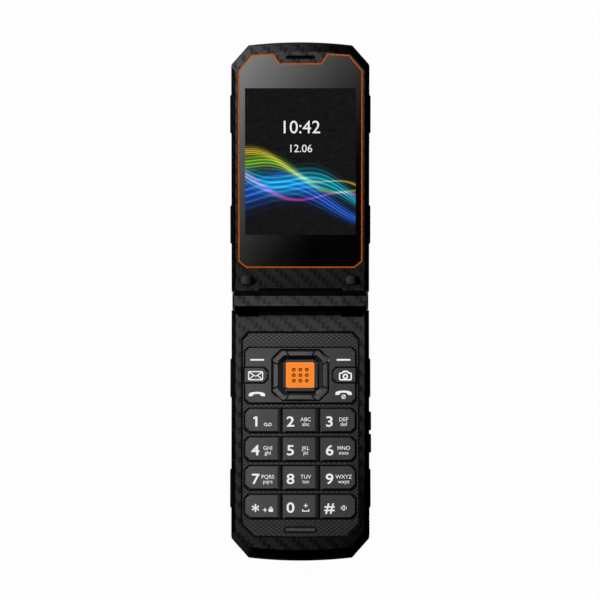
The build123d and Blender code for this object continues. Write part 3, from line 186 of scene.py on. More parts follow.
class Tree:
    """Short way to add and join the nodes of one shader tree."""

    def __init__(self, tree: bpy.types.NodeTree) -> None:
        """Keeps the tree that the nodes go into."""
        self.tree = tree

    def add(self, kind: str, inputs: Inputs | None = None, **options: object) -> bpy.types.Node:
        """Adds a node.

        Args:
            kind: The node's type.
            inputs: What its sockets are joined or set to.
            options: Options of the node, by name.

        Returns:
            The new node.
        """
        node = self.tree.nodes.new(kind)
        for name, option in options.items():
            setattr(node, name, option)
        self.fill(node, inputs or {})
        return node

    def fill(self, node: bpy.types.Node, inputs: Inputs) -> None:
        """Joins a node's sockets to values, or sets them.

        Args:
            node: The node to fill.
            inputs: Values or settings, by the socket's name or number.
        """
        for name, given in inputs.items():
            if isinstance(given, Value):
                self.tree.links.new(given.socket, node.inputs[name])
            else:
                node.inputs[name].default_value = given

    def get(self, node: bpy.types.Node, name: str | int = 0) -> Value:
        """One of a node's results, by its name or number."""
        return Value(self, node.outputs[name])

    def results(self, node: bpy.types.Node) -> dict[str, Value]:
        """All of a node's results, by name."""
        return {socket.name: Value(self, socket) for socket in node.outputs}

    def math(self, operation: str, *terms: Number) -> Value:
        """Result of a Math node, with its terms in the node's order."""
        return self.get(self.add("ShaderNodeMath", dict(enumerate(terms)), operation=operation))

    def blend(
        self, share: Number, first: Value | Colour, second: Value | Colour, how: str = "MIX",
    ) -> Value:
        """Blends two colours.

        Args:
            share: Share of the second colour.
            first: First colour.
            second: Second colour.
            how: The blend's name.

        Returns:
            The mixed colour.
        """
        inputs = {MIX_SHARE: share, MIX_FIRST: first, MIX_SECOND: second}
        return self.get(self.add("ShaderNodeMix", inputs, data_type="RGBA", blend_type=how), MIX_RESULT)

    def rerange(
        self, value: Value, low: float, high: float, to_low: float = 0.0, to_high: float = 1.0,
    ) -> Value:
        """Maps a range onto another one, and stops at its ends.

        Args:
            value: What is mapped.
            low: Start of its range.
            high: End of its range.
            to_low: Result at the start.
            to_high: Result at the end.

        Returns:
            The mapped value.
        """
        inputs = dict(enumerate((value, low, high, to_low, to_high)))
        return self.get(self.add("ShaderNodeMapRange", inputs, clamp=True))

    def split(self, vector: Value) -> list[Value]:
        """The three parts of a vector."""
        return list(self.results(self.add("ShaderNodeSeparateXYZ", {0: vector})).values())

    def noise(self, place: Value, scale: Number, detail: float = 2.0) -> Value:
        """Noise from 0 to 1 at a place."""
        return self.get(self.add("ShaderNodeTexNoise", {"Vector": place, "Scale": scale, "Detail": detail}))

    def bump(self, height: Value, depth: float, strength: float = 1.0) -> Value:
        """Normal of a bump with a depth in millimetres."""
        inputs = {"Strength": strength, "Distance": depth * MM, "Height": height}
        return self.get(self.add("ShaderNodeBump", inputs))

    def coordinate(self, name: str) -> Value:
        """The object's own place or normal."""
        return self.get(self.add("ShaderNodeTexCoord"), name)

    def flat_place(self, half: Half = Half.BASE) -> Value:
        """Place on a half's flat drawing, in millimetres.

        Args:
            half: The half whose drawing is meant.

        Returns:
            The place as a vector.
        """
        flat = half.to_row().inverted()
        inputs = {
            "Vector": self.coordinate("Object"), "Location": flat.to_translation(),
            "Rotation": flat.to_euler(), "Scale": flat.to_scale(),
        }
        return self.get(self.add("ShaderNodeMapping", inputs))

    def facing(self, direction: Sequence[float]) -> Value:
        """How squarely a surface faces a direction, from -1 to 1."""
        inputs = {0: self.coordinate("Normal"), 1: direction}
        return self.get(self.add("ShaderNodeVectorMath", inputs, operation="DOT_PRODUCT"), "Value")

    def steepness(self, half: Half, wall: float, face: float) -> Value:
        """How far a surface leans away from a half's face.

        Args:
            half: The half whose face is meant.
            wall: Level share at which it counts as a wall.
            face: Level share at which it counts as the face.

        Returns:
            A value from 0 on the face to 1 on the walls.
        """
        level = self.facing((0.0, -math.sin(half.turn()), math.cos(half.turn())))
        return self.rerange(abs(level), wall, face, 1.0, 0.0)

    def group(self, name: str, **inputs: object) -> dict[str, Value]:
        """Results of a shared effect, by name."""
        return self.results(self.add("ShaderNodeGroup", inputs, node_tree=bpy.data.node_groups[name]))


class SharedEffect:
    """A shader node group that several finishes use."""

    name: str
    inputs: tuple[str, ...]
    outputs: tuple[str, ...]

    def build(self) -> None:
        """Makes the group with its sockets and nodes."""
        tree = bpy.data.node_groups.new(self.name, "ShaderNodeTree")
        for in_out, names in (("INPUT", self.inputs), ("OUTPUT", self.outputs)):
            for name in names:
                kind = "NodeSocketVector" if name == "Place" else "NodeSocketFloat"
                tree.interface.new_socket(name=name, in_out=in_out, socket_type=kind)
        nodes = Tree(tree)
        given = nodes.results(nodes.add("NodeGroupInput"))
        nodes.add("NodeGroupOutput", self.work(nodes, given))

    def work(self, nodes: Tree, given: dict[str, Value]) -> dict[str, Value]:
        """Turns the group's inputs into its outputs."""
        raise NotImplementedError


@dataclass(frozen=True)
class MouldedGrain(SharedEffect):
    """Fine moulded texture with broad, faint wear."""

    name = "moulded_grain"
    inputs = ("Place", "Size")
    outputs = ("Shade", "Height")
    broad_scale: float = 0.11
    broad_detail: float = 4.0
    fine_share: float = 0.45
    spread: Point = (0.34, 0.66)

    def work(self, nodes: Tree, given: dict[str, Value]) -> dict[str, Value]:
        """Mixes fine and broad noise.

        Args:
            nodes: The group's tree.
            given: The group's inputs.

        Returns:
            Shade and height of the grain.
        """
        fine = nodes.noise(given["Place"], 1.0 / given["Size"])
        broad = nodes.noise(given["Place"], self.broad_scale, self.broad_detail)
        both = fine * self.fine_share + broad * (1.0 - self.fine_share)
        return {"Shade": nodes.rerange(both, *self.spread), "Height": fine}


@dataclass(frozen=True)
class CarbonWeave(SharedEffect):
    """Twill: columns of threads with floats that step along."""

    name = "carbon_weave"
    inputs = ("Across", "Along")
    outputs = ("Under", "Height")
    column_width: float = 1.64
    repeat: float = 5.9
    step: float = 1.475
    fibre: float = 0.137
    float_share: float = 0.42
    thread_share: float = 0.8
    column_drop: float = 3.2
    float_drop: float = 2.4
    fibre_height: float = 0.06
    under_depth: float = 0.35

    def work(self, nodes: Tree, given: dict[str, Value]) -> dict[str, Value]:
        """Finds where threads dip under and how high they stand.

        Args:
            nodes: The group's tree.
            given: The group's inputs.

        Returns:
            Whether a thread is under, and the weave's height.
        """
        columns = given["Across"] / self.column_width
        run = (given["Along"] + nodes.math("FLOOR", columns) * self.step) / self.repeat
        off_column = nodes.math("FRACT", columns) - 0.5
        in_thread = nodes.math("LESS_THAN", abs(off_column), self.thread_share / 2)
        under = nodes.math("LESS_THAN", nodes.math("FRACT", run), self.float_share) * in_thread
        off_float = nodes.math("FRACT", run * 2.0) - 0.5
        column_crown = 1.0 - off_column * off_column * self.column_drop
        float_crown = 1.0 - off_float * off_float * self.float_drop
        fibres = nodes.math("SINE", given["Across"] * (math.tau / self.fibre)) * self.fibre_height
        return {"Under": under, "Height": column_crown * float_crown + fibres - under * self.under_depth}


@dataclass(frozen=True)
class LightRibbon(SharedEffect):
    """Ribbon of light: a soft wavy band with finer strands in it."""

    name = "light_ribbon"
    inputs = ("Place", "Level", "Slope", "Swing", "Wave", "Phase", "Width")
    outputs = ("Glow",)
    mean_width: float = 0.75
    width_swing: float = 0.55
    strand_turn: float = 5.5
    strand_sharpness: float = 6.0
    strand_light: float = 0.85
    band_light: float = 0.22

    def work(self, nodes: Tree, given: dict[str, Value]) -> dict[str, Value]:
        """Lights a place by its distance from the ribbon's middle.

        Args:
            nodes: The group's tree.
            given: The group's inputs.

        Returns:
            The ribbon's glow.
        """
        across, along, _ = nodes.split(given["Place"])
        turn = across / given["Wave"] * math.tau + given["Phase"]
        middle = nodes.math("SINE", turn) * given["Swing"] + given["Level"] + across * given["Slope"]
        width = nodes.math("COSINE", turn * 0.5) * self.width_swing + self.mean_width
        off = (along - middle) / (given["Width"] * width)
        band = nodes.math("EXPONENT", off * off * -1.0)
        strands = abs(nodes.math("SINE", off * self.strand_turn))
        strands = nodes.math("POWER", strands, self.strand_sharpness)
        return {"Glow": band * (strands * self.strand_light + self.band_light)}


@dataclass(frozen=True)
class Finish:
    """A named finish, whose material is made when it is first asked for."""

    name: str

    def material(self) -> bpy.types.Material:
        """Makes the finish's material, once.

        Returns:
            The material.
        """
        label = "finish_" + self.name
        if label in bpy.data.materials:
            return bpy.data.materials[label]
        made = bpy.data.materials.new(label)
        made.use_nodes = True
        nodes = Tree(made.node_tree)
        nodes.fill(made.node_tree.nodes["Principled BSDF"], self.sockets(nodes))
        return made

    def sockets(self, nodes: Tree) -> Inputs:
        """What the shader's sockets get, in each kind of finish."""
        raise NotImplementedError


@dataclass(frozen=True)
class Fade:
    """Painted shade along one axis of the flat drawing, from none at its start to most at its end."""

    axis: Axis
    start: float
    end: float
    most: float


@dataclass(frozen=True)
class MouldedFinish(Finish):
    """Moulded, coated or polished surface: grain, faint wear, a fine bump and painted shade if wanted."""

    dark: Colour
    light: Colour
    roughness: Point = (0.42, 0.55)
    specular: float = 0.25
    grain: float = 0.12
    depth: float = 0.01
    metallic: float = 0.0
    # Steepness range over which walls get painted shade
    walls: Point | None = None
    # Facing range towards the painted light over which that painted shade fades out
    lit: Point | None = None
    # Painted shade along axes of the flat drawing
    fades: tuple[Fade, ...] = ()
    bump_strength: float = 0.6

    def sockets(self, nodes: Tree) -> Inputs:
        """Sets colour, gloss and bump from the shared grain.

        Args:
            nodes: The material's tree.

        Returns:
            What the shader's sockets get.
        """
        place = nodes.flat_place()
        grain = nodes.group("moulded_grain", Place=place, Size=self.grain)
        colour = nodes.blend(grain["Shade"], self.dark, self.light)
        # Painted shade blends the colour towards near black
        for shade in self.shades(nodes, place):
            colour = nodes.blend(shade, colour, PAINTED_SHADE_BLACK)
        return {
            "Base Color": colour, "Roughness": nodes.rerange(grain["Shade"], 0.0, 1.0, *self.roughness),
            "Normal": nodes.bump(grain["Height"], self.depth, self.bump_strength),
            "Specular IOR Level": self.specular, "Metallic": self.metallic,
        }

    def shades(self, nodes: Tree, place: Value) -> list[Value]:
        """Works out where painted shade darkens the colour.

        Args:
            nodes: The material's tree.
            place: Place on the flat drawing.

        Returns:
            Shares of painted shade, in the order that they are laid on.
        """
        shades = []
        if self.walls:
            wall = nodes.steepness(Half.BASE, *self.walls)
            if self.lit:
                wall = wall * nodes.rerange(nodes.facing(PAINTED_LIGHT_FROM), *self.lit, 1.0, 0.0)
            shades.append(wall)
        for fade in self.fades:
            part = nodes.split(place)[fade.axis.value]
            shades.append(nodes.rerange(part, fade.start, fade.end, 0.0, fade.most))
        return shades


@dataclass(frozen=True)
class WovenFinish(Finish):
    """Woven carbon under satin lacquer.

    It has painted light and shade: graded from the hinge out on the left and on the right, with a painted
    highlight and painted shade on the hinge barrel, painted shade near black on bevels and slopes, and one
    painted dark level on upright walls.
    """

    half: Half
    over: Colour
    under: Colour
    # Painted light and shade: left and right grade the faces, bevel the bevels, barrel the hinge barrel
    left: Point
    right: Point
    bevel: Point
    bevel_span: Point
    barrel: Point
    # Weave contrast along the painted light and shade
    contrast: Point
    left_reach: Point = (9.0, 100.0)
    right_reach: Point = (9.0, 100.0)
    half_width: float = 26.0
    barrel_tones: Point = (0.9, 0.45)
    contrast_tones: Point = (0.1, 0.75)
    grain: float = 0.3
    wear: Point = (0.74, 1.0)
    # Painted shade near black on side bevels and slopes, and a painted dark level on upright walls
    beside: Point = (0.62, 0.78)
    slope: Point = (0.84, 0.95)
    wall: Point = (0.25, 0.5)
    wall_share: float = 0.85
    edge_share: float = 0.06
    upright: Point = (0.05, 0.15)
    upright_tone: float = 0.3
    gloss: float = 0.06
    gloss_roughness: float = 0.4
    crests: Point = (0.3, 1.0)
    roughness: Point = (0.58, 0.42)
    depth: float = 0.04
    bump_strength: float = 0.5

    def sockets(self, nodes: Tree) -> Inputs:
        """Lays the weave over the faces and down round the edges.

        Args:
            nodes: The material's tree.

        Returns:
            What the shader's sockets get.
        """
        place = nodes.flat_place(self.half)
        across, along, height = nodes.split(place)
        side, end, _ = nodes.split(nodes.coordinate("Normal"))
        drop = nodes.math("MAXIMUM", FACE_Z - height, 0.0)
        weave = nodes.group(
            "carbon_weave", Across=across + nodes.math("ROUND", side) * drop,
            Along=along + nodes.math("ROUND", end) * drop,
        )
        distance = abs(along - HINGE_Y)
        # The hinge barrel gets a painted highlight on its top and painted shade on its slopes
        at_barrel = nodes.rerange(distance, *self.barrel, 1.0, 0.0)
        tone = self.tone(nodes, across, distance, at_barrel)
        edge = self.edge(nodes, across, side, at_barrel)
        grain = nodes.group("moulded_grain", Place=place, Size=self.grain)
        # Painted light and shade times the random grain
        painted_tone_and_grain = tone * nodes.rerange(grain["Shade"], 0.0, 1.0, *self.wear)
        shaded = painted_tone_and_grain * (1.0 - edge * (1.0 - self.edge_share))
        share = shaded + nodes.steepness(self.half, *self.upright) * (self.upright_tone - shaded)
        # The weave's contrast follows the painted light and shade
        under = weave["Under"] * nodes.rerange(tone, *self.contrast_tones, *self.contrast)
        return {
            "Base Color": nodes.blend(share, BLACK, nodes.blend(under, self.over, self.under)),
            "Coat Weight": (1.0 - edge) * self.gloss, "Coat Roughness": self.gloss_roughness,
            "Roughness": nodes.rerange(weave["Height"], *self.crests, *self.roughness),
            "Normal": nodes.bump(weave["Height"], self.depth, self.bump_strength),
            "Specular IOR Level": 0.0,
        }

    def tone(self, nodes: Tree, across: Value, distance: Value, at_barrel: Value) -> Value:
        """Paints light and shade on the faces by their place, with a painted highlight on the hinge barrel.

        Args:
            nodes: The material's tree.
            across: Place across the phone.
            distance: Distance from the hinge axis.
            at_barrel: Whether the place is on the hinge barrel.

        Returns:
            The painted level, from 0 for black.
        """
        aside = nodes.rerange(across, -self.half_width, self.half_width)
        left = nodes.rerange(distance, *self.left_reach, *self.left)
        right = nodes.rerange(distance, *self.right_reach, *self.right)
        barrel = at_barrel * nodes.rerange(aside, 0.0, 1.0, *self.barrel_tones)
        return nodes.math("MAXIMUM", left + aside * (right - left), barrel)

    def edge(self, nodes: Tree, across: Value, side: Value, at_barrel: Value) -> Value:
        """Finds the slopes and walls that get painted shade, near black.

        Args:
            nodes: The material's tree.
            across: Place across the phone.
            side: Sideways part of the surface's normal.
            at_barrel: Whether the place is on the hinge barrel.

        Returns:
            Share of painted shade.
        """
        beside = nodes.rerange(abs(side), *self.beside)
        bevel = nodes.rerange(across, *self.bevel_span, *self.bevel)
        darkest = nodes.math("MAXIMUM", nodes.math("MAXIMUM", beside, at_barrel), bevel)
        sloped = nodes.steepness(self.half, *self.slope) * darkest
        return nodes.math("MAXIMUM", sloped, nodes.steepness(self.half, *self.wall) * self.wall_share)


@dataclass(frozen=True)
class DimpledFinish(Finish):
    """Orange key whose nine dimples have painted shade, with a painted highlight at each middle."""

    face: Colour
    # Colours of the painted shade in the dimples and the painted highlight at their middles
    dimple: Colour
    pip: Colour
    pitch: Point = (2.53, 2.18)
    dimple_reach: Point = (0.68, 0.8)
    pip_reach: Point = (0.15, 0.4)
    grain: float = 0.1
    grain_share: float = 0.04
    roughness: Point = (0.4, 0.5)
    specular: float = 0.03

    def sockets(self, nodes: Tree) -> Inputs:
        """Paints shade in the dimples and a highlight at their middles, by distance from the nearest
        middle.

        Args:
            nodes: The material's tree.

        Returns:
            What the shader's sockets get.
        """
        place = nodes.flat_place()
        squares = []
        for part, middle, pitch in zip(nodes.split(place), RING_MIDDLE, self.pitch):
            steps = (part - middle) / pitch
            nearest = nodes.math("MINIMUM", nodes.math("MAXIMUM", nodes.math("ROUND", steps), -1.0), 1.0)
            offset = (steps - nearest) * pitch
            squares.append(offset * offset)
        radius = nodes.math("SQRT", squares[0] + squares[1])
        grain = nodes.group("moulded_grain", Place=place, Size=self.grain)["Shade"]
        colour = nodes.blend(grain * self.grain_share, self.face, self.dimple)
        for reach, inner in ((self.dimple_reach, self.dimple), (self.pip_reach, self.pip)):
            colour = nodes.blend(nodes.rerange(radius, *reach, 1.0, 0.0), colour, inner)
        return {
            "Base Color": colour, "Roughness": nodes.rerange(grain, 0.0, 1.0, *self.roughness),
            "Specular IOR Level": self.specular,
        }


@dataclass(frozen=True)
class MeshFinish(Finish):
    """Fine woven wire over an opening."""

    wire: Colour
    gap: Colour
    pitch: float = 0.36
    wire_edge: Point = (0.55, 0.8)
    depth: float = 0.05
    metallic: float = 0.8
    roughness: float = 0.5

    def sockets(self, nodes: Tree) -> Inputs:
        """Draws crossed wires and sinks the gaps.

        Args:
            nodes: The material's tree.

        Returns:
            What the shader's sockets get.
        """
        across, along, _ = nodes.split(nodes.flat_place(Half.LID))
        waves = [abs(nodes.math("SINE", part * (math.tau / self.pitch))) for part in (across, along)]
        wires = nodes.math("MAXIMUM", *waves)
        return {
            "Base Color": nodes.blend(nodes.rerange(wires, *self.wire_edge), self.gap, self.wire),
            "Normal": nodes.bump(wires, self.depth), "Metallic": self.metallic, "Roughness": self.roughness,
        }


@dataclass(frozen=True)
class BumperFinish(Finish):
    """Soft bumpers at the two sides, painted from highlight to shade, pale to black, across each middle."""

    # Colours of the painted highlight and the painted shade
    pale: Colour
    black: Colour
    middle: float = 20.55
    reach: Point = (-2.4, 1.3)
    grain: float = 0.15
    wear: float = 0.15
    roughness: float = 0.55

    def sockets(self, nodes: Tree) -> Inputs:
        """Paints highlight and shade by the distance from the nearer bumper's middle.

        Args:
            nodes: The material's tree.

        Returns:
            What the shader's sockets get.
        """
        place = nodes.flat_place(Half.LID)
        across = nodes.split(place)[Axis.ACROSS.value]
        off = across - nodes.math("SIGN", across) * self.middle
        grain = nodes.group("moulded_grain", Place=place, Size=self.grain)["Shade"]
        shade = nodes.rerange(off, *self.reach) + nodes.rerange(grain, 0.0, 1.0, -self.wear, self.wear)
        return {
            "Base Color": nodes.blend(shade, self.pale, self.black),
            "Roughness": self.roughness, "Specular IOR Level": 0.0,
        }


@dataclass(frozen=True)
class Ribbon:
    """One wavy band of light on the display."""

    colour: Colour
    level: float
    slope: float
    swing: float
    wave: float
    phase: float
    width: float


@dataclass(frozen=True)
class PictureFinish(Finish):
    """Lit display: dark brushed ground with wavy bands of coloured light."""

    ground: Colour
    ribbons: tuple[Ribbon, ...]
    brush_turn: float = math.radians(34.0)
    brush_size: tuple[float, float, float] = (3.0, 0.5, 1.0)
    brush_detail: float = 3.0
    brush_spread: Point = (0.4, 0.75)
    brush_gain: float = 2.0
    roughness: float = 0.6

    def sockets(self, nodes: Tree) -> Inputs:
        """Adds the bands to the ground and lights the whole.

        Args:
            nodes: The material's tree.

        Returns:
            What the shader's sockets get.
        """
        place = nodes.flat_place(Half.LID)
        turned = {"Vector": place, "Rotation": (0.0, 0.0, self.brush_turn), "Scale": self.brush_size}
        brushed = nodes.get(nodes.add("ShaderNodeMapping", turned, vector_type="TEXTURE"))
        streaks = nodes.rerange(nodes.noise(brushed, 1.0, self.brush_detail), *self.brush_spread)
        lit = nodes.blend(streaks, self.ground, scaled(self.ground, self.brush_gain))
        for ribbon in self.ribbons:
            band = nodes.group(
                "light_ribbon", Place=place, Level=ribbon.level, Slope=ribbon.slope, Swing=ribbon.swing,
                Wave=ribbon.wave, Phase=ribbon.phase, Width=ribbon.width,
            )
            lit = nodes.blend(1.0, lit, nodes.blend(band["Glow"], BLACK, ribbon.colour), "ADD")
        return {
            "Base Color": BLACK, "Specular IOR Level": 0.0, "Roughness": self.roughness,
            "Emission Color": lit, "Emission Strength": 1.0,
        }


@dataclass(frozen=True)
class LitInkFinish(Finish):
    """Bright figures of the lit display."""

    colour: Colour
    dot_turn: float = 36.0
    dim_share: float = 0.9

    def sockets(self, nodes: Tree) -> Inputs:
        """Lights the figures, with a faint dot pattern.

        Args:
            nodes: The material's tree.

        Returns:
            What the shader's sockets get.
        """
        across, along, _ = nodes.split(nodes.flat_place(Half.LID))
        dots = nodes.math("SINE", across * self.dot_turn) * nodes.math("SINE", along * self.dot_turn)
        lit = nodes.blend(nodes.rerange(dots, -1.0, 1.0), scaled(self.colour, self.dim_share), self.colour)
        return {
            "Base Color": BLACK, "Specular IOR Level": 0.0, "Emission Color": lit, "Emission Strength": 1.0,
        }


# Colour, level, slope, swing, wave, phase and width
RIBBONS = (
    Ribbon((0.0, 0.55, 0.75, 1.0), 96.5, -0.26, 3.4, 46.0, 0.4, 2.6),
    Ribbon((0.02, 0.16, 0.85, 1.0), 91.0, -0.18, 4.6, 58.0, 1.9, 3.4),
    Ribbon((0.25, 0.6, 0.03, 1.0), 99.5, -0.3, 2.6, 38.0, 3.1, 1.7),
    Ribbon((0.75, 0.55, 0.03, 1.0), 101.5, -0.34, 2.2, 34.0, 4.2, 1.1),
    Ribbon((0.6, 0.04, 0.5, 1.0), 93.5, -0.22, 3.8, 50.0, 5.3, 1.5),
)
POLISH = {"roughness": (0.03, 0.07), "specular": 0.5, "grain": 7.0, "depth": 0.0}
METAL = {"specular": 0.5, "grain": 0.2, "depth": 0.004}

FINISHES: dict[str, Finish] = {finish.name: finish for finish in (
    # Woven halves: left, right, bevel, barrel and contrast place their painted light and shade
    WovenFinish(
        "woven_base", Half.BASE, linear(72), linear(26), left=(0.74, 0.27), right=(0.58, 0.0),
        bevel=(0.05, 1.0), bevel_span=(-24.0, -17.0), barrel=(5.4, 5.5), contrast=(1.0, 0.42),
        right_reach=(9.0, 78.0),
    ),
    WovenFinish(
        "woven_lid", Half.LID, linear(70), linear(34), left=(0.37, 1.28), right=(0.22, 0.68),
        bevel=(0.25, 1.0), bevel_span=(-24.0, 12.0), barrel=(4.5, 4.6), contrast=(0.72, 0.72),
    ),
    # Near black, so the panel seen in the grooves round knurl, keys and cluster is painted shade there
    MouldedFinish("panel", linear(3), linear(6), specular=0.05),
    # Knurl: painted shade in its valleys, darker towards the right and towards the base's far end
    MouldedFinish(
        "knurl", linear(78), linear(88), specular=0.08,
        fades=(
            Fade(Axis.UP, 12.52, 12.4, 0.75), Fade(Axis.ACROSS, -24.0, 24.0, 0.42),
            Fade(Axis.ALONG, 36.0, -38.0, 0.42),
        ),
    ),
    # Keys and ring: painted shade on walls turned from the painted light, and darker towards the right
    MouldedFinish(
        "keys", linear(72), linear(80), specular=0.1, walls=(0.6, 0.9), lit=(0.5, 1.0),
        fades=(Fade(Axis.ACROSS, -26.4, 30.5, 0.55),),
    ),
    MouldedFinish(
        "ring", linear(82), linear(92), specular=0.08, walls=(0.72, 0.97), lit=(0.84, 0.96),
        fades=(Fade(Axis.ACROSS, -11.5, 16.7, 0.5),),
    ),
    MouldedFinish("ridge", linear(62, 67, 71), linear(72, 77, 81), specular=0.05),
    DimpledFinish("centre_key", (1.0, 0.255, 0.036, 1.0), linear(96, 56, 0), linear(214, 140, 8)),
    MouldedFinish("trim", (0.57, 0.094, 0.0, 1.0), (0.62, 0.106, 0.001, 1.0), specular=0.02),
    MouldedFinish("window", linear(3), linear(6), **POLISH),
    MouldedFinish("display", linear(20), linear(32), roughness=(0.2, 0.3)),
    MouldedFinish("rubber", linear(9), linear(17), (0.7, 0.85), specular=0.1, grain=0.22, depth=0.03),
    MouldedFinish("black_plastic", linear(4), linear(9), roughness=(0.45, 0.6), specular=0.1),
    BumperFinish("bumper", linear(68), BLACK),
    # Microphone bar: painted shade on its walls
    MouldedFinish("mic_bar", linear(64), linear(72), specular=0.05, walls=(0.5, 0.85)),
    MeshFinish("mesh", linear(3), BLACK),
    MouldedFinish("silicone", linear(178), linear(196), roughness=(0.6, 0.7)),
    MouldedFinish("film", linear(170, 100, 25), linear(205, 130, 40), roughness=(0.25, 0.35)),
    MouldedFinish("board", linear(10, 60, 35), linear(20, 84, 50), roughness=(0.3, 0.4)),
    MouldedFinish("battery_can", linear(96), linear(116), roughness=(0.4, 0.5)),
    MouldedFinish("steel", linear(150), linear(176), roughness=(0.25, 0.4), metallic=1.0, **METAL),
    MouldedFinish("lens", linear(6, 8, 20), linear(14, 10, 34), **POLISH),
    MouldedFinish("bezel", linear(70), linear(92), roughness=(0.25, 0.35), metallic=0.9, **METAL),
    MouldedFinish(
        "legend_ink", linear(236), linear(246), roughness=(0.5, 0.6), specular=0.2, grain=0.08, depth=0.004,
    ),
    LitInkFinish("lit_figures", linear(244)),
    PictureFinish("picture", linear(19, 19, 20), RIBBONS),
)}


class Bench:
    """Modelling steps, done with Blender's own operators."""

    @staticmethod
    def clear() -> None:
        """Leaves edit mode and deselects everything."""
        if bpy.context.object and bpy.context.object.mode != "OBJECT":
            bpy.ops.object.mode_set(mode="OBJECT")
        bpy.ops.object.select_all(action="DESELECT")

    @staticmethod
    def take(*pieces: bpy.types.Object) -> None:
        """Selects these pieces alone, the first one active.

        Args:
            pieces: The pieces to select.
        """
        Bench.clear()
        for piece in pieces:
            piece.select_set(True)
        bpy.context.view_layer.objects.active = pieces[0]

    @staticmethod
    def edit(piece: bpy.types.Object, wanted: Callable[[bpy.types.MeshPolygon], bool]) -> None:
        """Opens a piece in edit mode with some faces selected.

        Args:
            piece: The piece to open.
            wanted: Says whether a face is selected.
        """
        Bench.take(piece)
        bpy.ops.object.mode_set(mode="EDIT")
        bpy.ops.mesh.select_mode(type="FACE")
        bpy.ops.mesh.select_all(action="DESELECT")
        bpy.ops.object.mode_set(mode="OBJECT")
        for face in piece.data.polygons:
            face.select = wanted(face)
        bpy.ops.object.mode_set(mode="EDIT")

    @staticmethod
    def apply(piece: bpy.types.Object, kind: str, **settings: object) -> None:
        """Adds a modifier and applies it.

        Args:
            piece: The piece that gets it.
            kind: The modifier's type.
            settings: Its options, by name.
        """
        Bench.take(piece)
        modifier = piece.modifiers.new(kind.lower(), kind)
        for name, value in settings.items():
            setattr(modifier, name, value)
        bpy.ops.object.modifier_apply(modifier=modifier.name)

    @staticmethod
    def move(piece: bpy.types.Object, matrix: Matrix) -> bpy.types.Object:
        """Puts a piece's place into its mesh.

        Args:
            piece: The piece to place.
            matrix: Its place.

        Returns:
            The same piece.
        """
        piece.matrix_world = matrix @ piece.matrix_world
        Bench.take(piece)
        bpy.ops.object.transform_apply(location=True, rotation=True, scale=True)
        return piece

    @staticmethod
    def join(name: str, pieces: Sequence[bpy.types.Object]) -> bpy.types.Object:
        """Joins pieces into one and names it.

        Args:
            name: The name to give.
            pieces: The pieces to join.

        Returns:
            The joined piece.
        """
        Bench.take(*pieces)
        if len(pieces) > 1:
            bpy.ops.object.join()
        whole = bpy.context.object
        whole.name = name
        whole.data.name = name
        return whole

    @staticmethod
    def plane(name: str, place: Matrix) -> bpy.types.Object:
        """Adds a flat sheet.

        Args:
            name: The name to give.
            place: Where a square of size 1 goes, and how it is stretched.

        Returns:
            The sheet.
        """
        Bench.clear()
        bpy.ops.mesh.primitive_plane_add(size=1.0)
        return Bench.move(Bench.join(name, [bpy.context.object]), place)


def dress(piece: bpy.types.Object, finish: str) -> None:
    """Gives a piece the finish of that name all over."""
    piece.data.materials.clear()
    piece.data.materials.append(FINISHES[finish].material())


@dataclass(frozen=True)
class Fitting:
    """Where a finished piece belongs: the half it is drawn on and its body, with the name of the record's
    slot, if any, kept beside them.
    """

    half: Half
    body: str
    slot: str | None = None

    def fit(self, name: str, parts: Sequence[bpy.types.Object], finish: str) -> None:
        """Joins parts that are drawn flat, puts them in place, dresses them and lets them ride on the body.

        Args:
            name: The piece's name.
            parts: Its parts.
            finish: Its finish's name.
        """
        piece = Bench.move(Bench.join(name, parts), self.half.to_row())
        dress(piece, finish)
        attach(piece, self.body)
        LOG.info("%s rides on %s", piece.name, self.body)


def rounded(width: float, height: float, radius: float, middle: Point = (0.0, 0.0)) -> Outline:
    """Outline of a rectangle with round corners.

    Args:
        width: Its width.
        height: Its height.
        radius: Radius of its corners.
        middle: Its middle.

    Returns:
        The outline's points.
    """
    points = []
    steps = 5
    corners = ((1, 1, 0), (-1, 1, 90), (-1, -1, 180), (1, -1, 270))
    for side, end, start in corners:
        for step in range(steps + 1):
            angle = math.radians(start + 90 * step / steps)
            x = middle[0] + side * (width / 2 - radius) + radius * math.cos(angle)
            y = middle[1] + end * (height / 2 - radius) + radius * math.sin(angle)
            points.append((x, y))
    return points


def pill(width: float, height: float, middle: Point) -> Outline:
    """Outline of a bar with round ends, which keep a hair of straight edge."""
    straight = 0.01
    return rounded(width, height, height / 2 - straight, middle)


def circle(radius: float, middle: Point = (0.0, 0.0), sides: int = 24) -> Outline:
    """Outline of a circle."""
    angles = [math.tau * index / sides for index in range(sides)]
    return [(middle[0] + radius * math.cos(a), middle[1] + radius * math.sin(a)) for a in angles]


def arch(half_width: float, height: float, foot: float, steps: int = 10) -> Outline:
    """Half an ellipse that stands on a level foot, from right to left."""
    angles = [math.pi * index / steps for index in range(steps + 1)]
    return [(half_width * math.cos(a), foot + height * math.sin(a)) for a in angles]


def stroke(start: Point, end: Point, width: float) -> Outline:
    """Outline of a straight stroke.

    Args:
        start: Its start.
        end: Its end.
        width: Its width.

    Returns:
        Its four corners.
    """
    run = (Vector(end) - Vector(start)).normalized() * (width / 2)
    side = Vector((-run.y, run.x))
    corners = (Vector(start) + side, Vector(start) - side, Vector(end) - side, Vector(end) + side)
    return [(corner.x, corner.y) for corner in corners]


def mirrored(outline: Outline) -> Outline:
    """The same outline, mirrored left to right."""
    return [(-x, y) for x, y in reversed(outline)]


def both(right: Outline) -> Outline:
    """Right half of an outline with its mirror image, and points on the middle line once."""
    return right + [(x, y) for x, y in mirrored(right) if x]


def pair(outline: Outline) -> Shapes:
    """A shape and its mirror image."""
    return [[outline], [mirrored(outline)]]


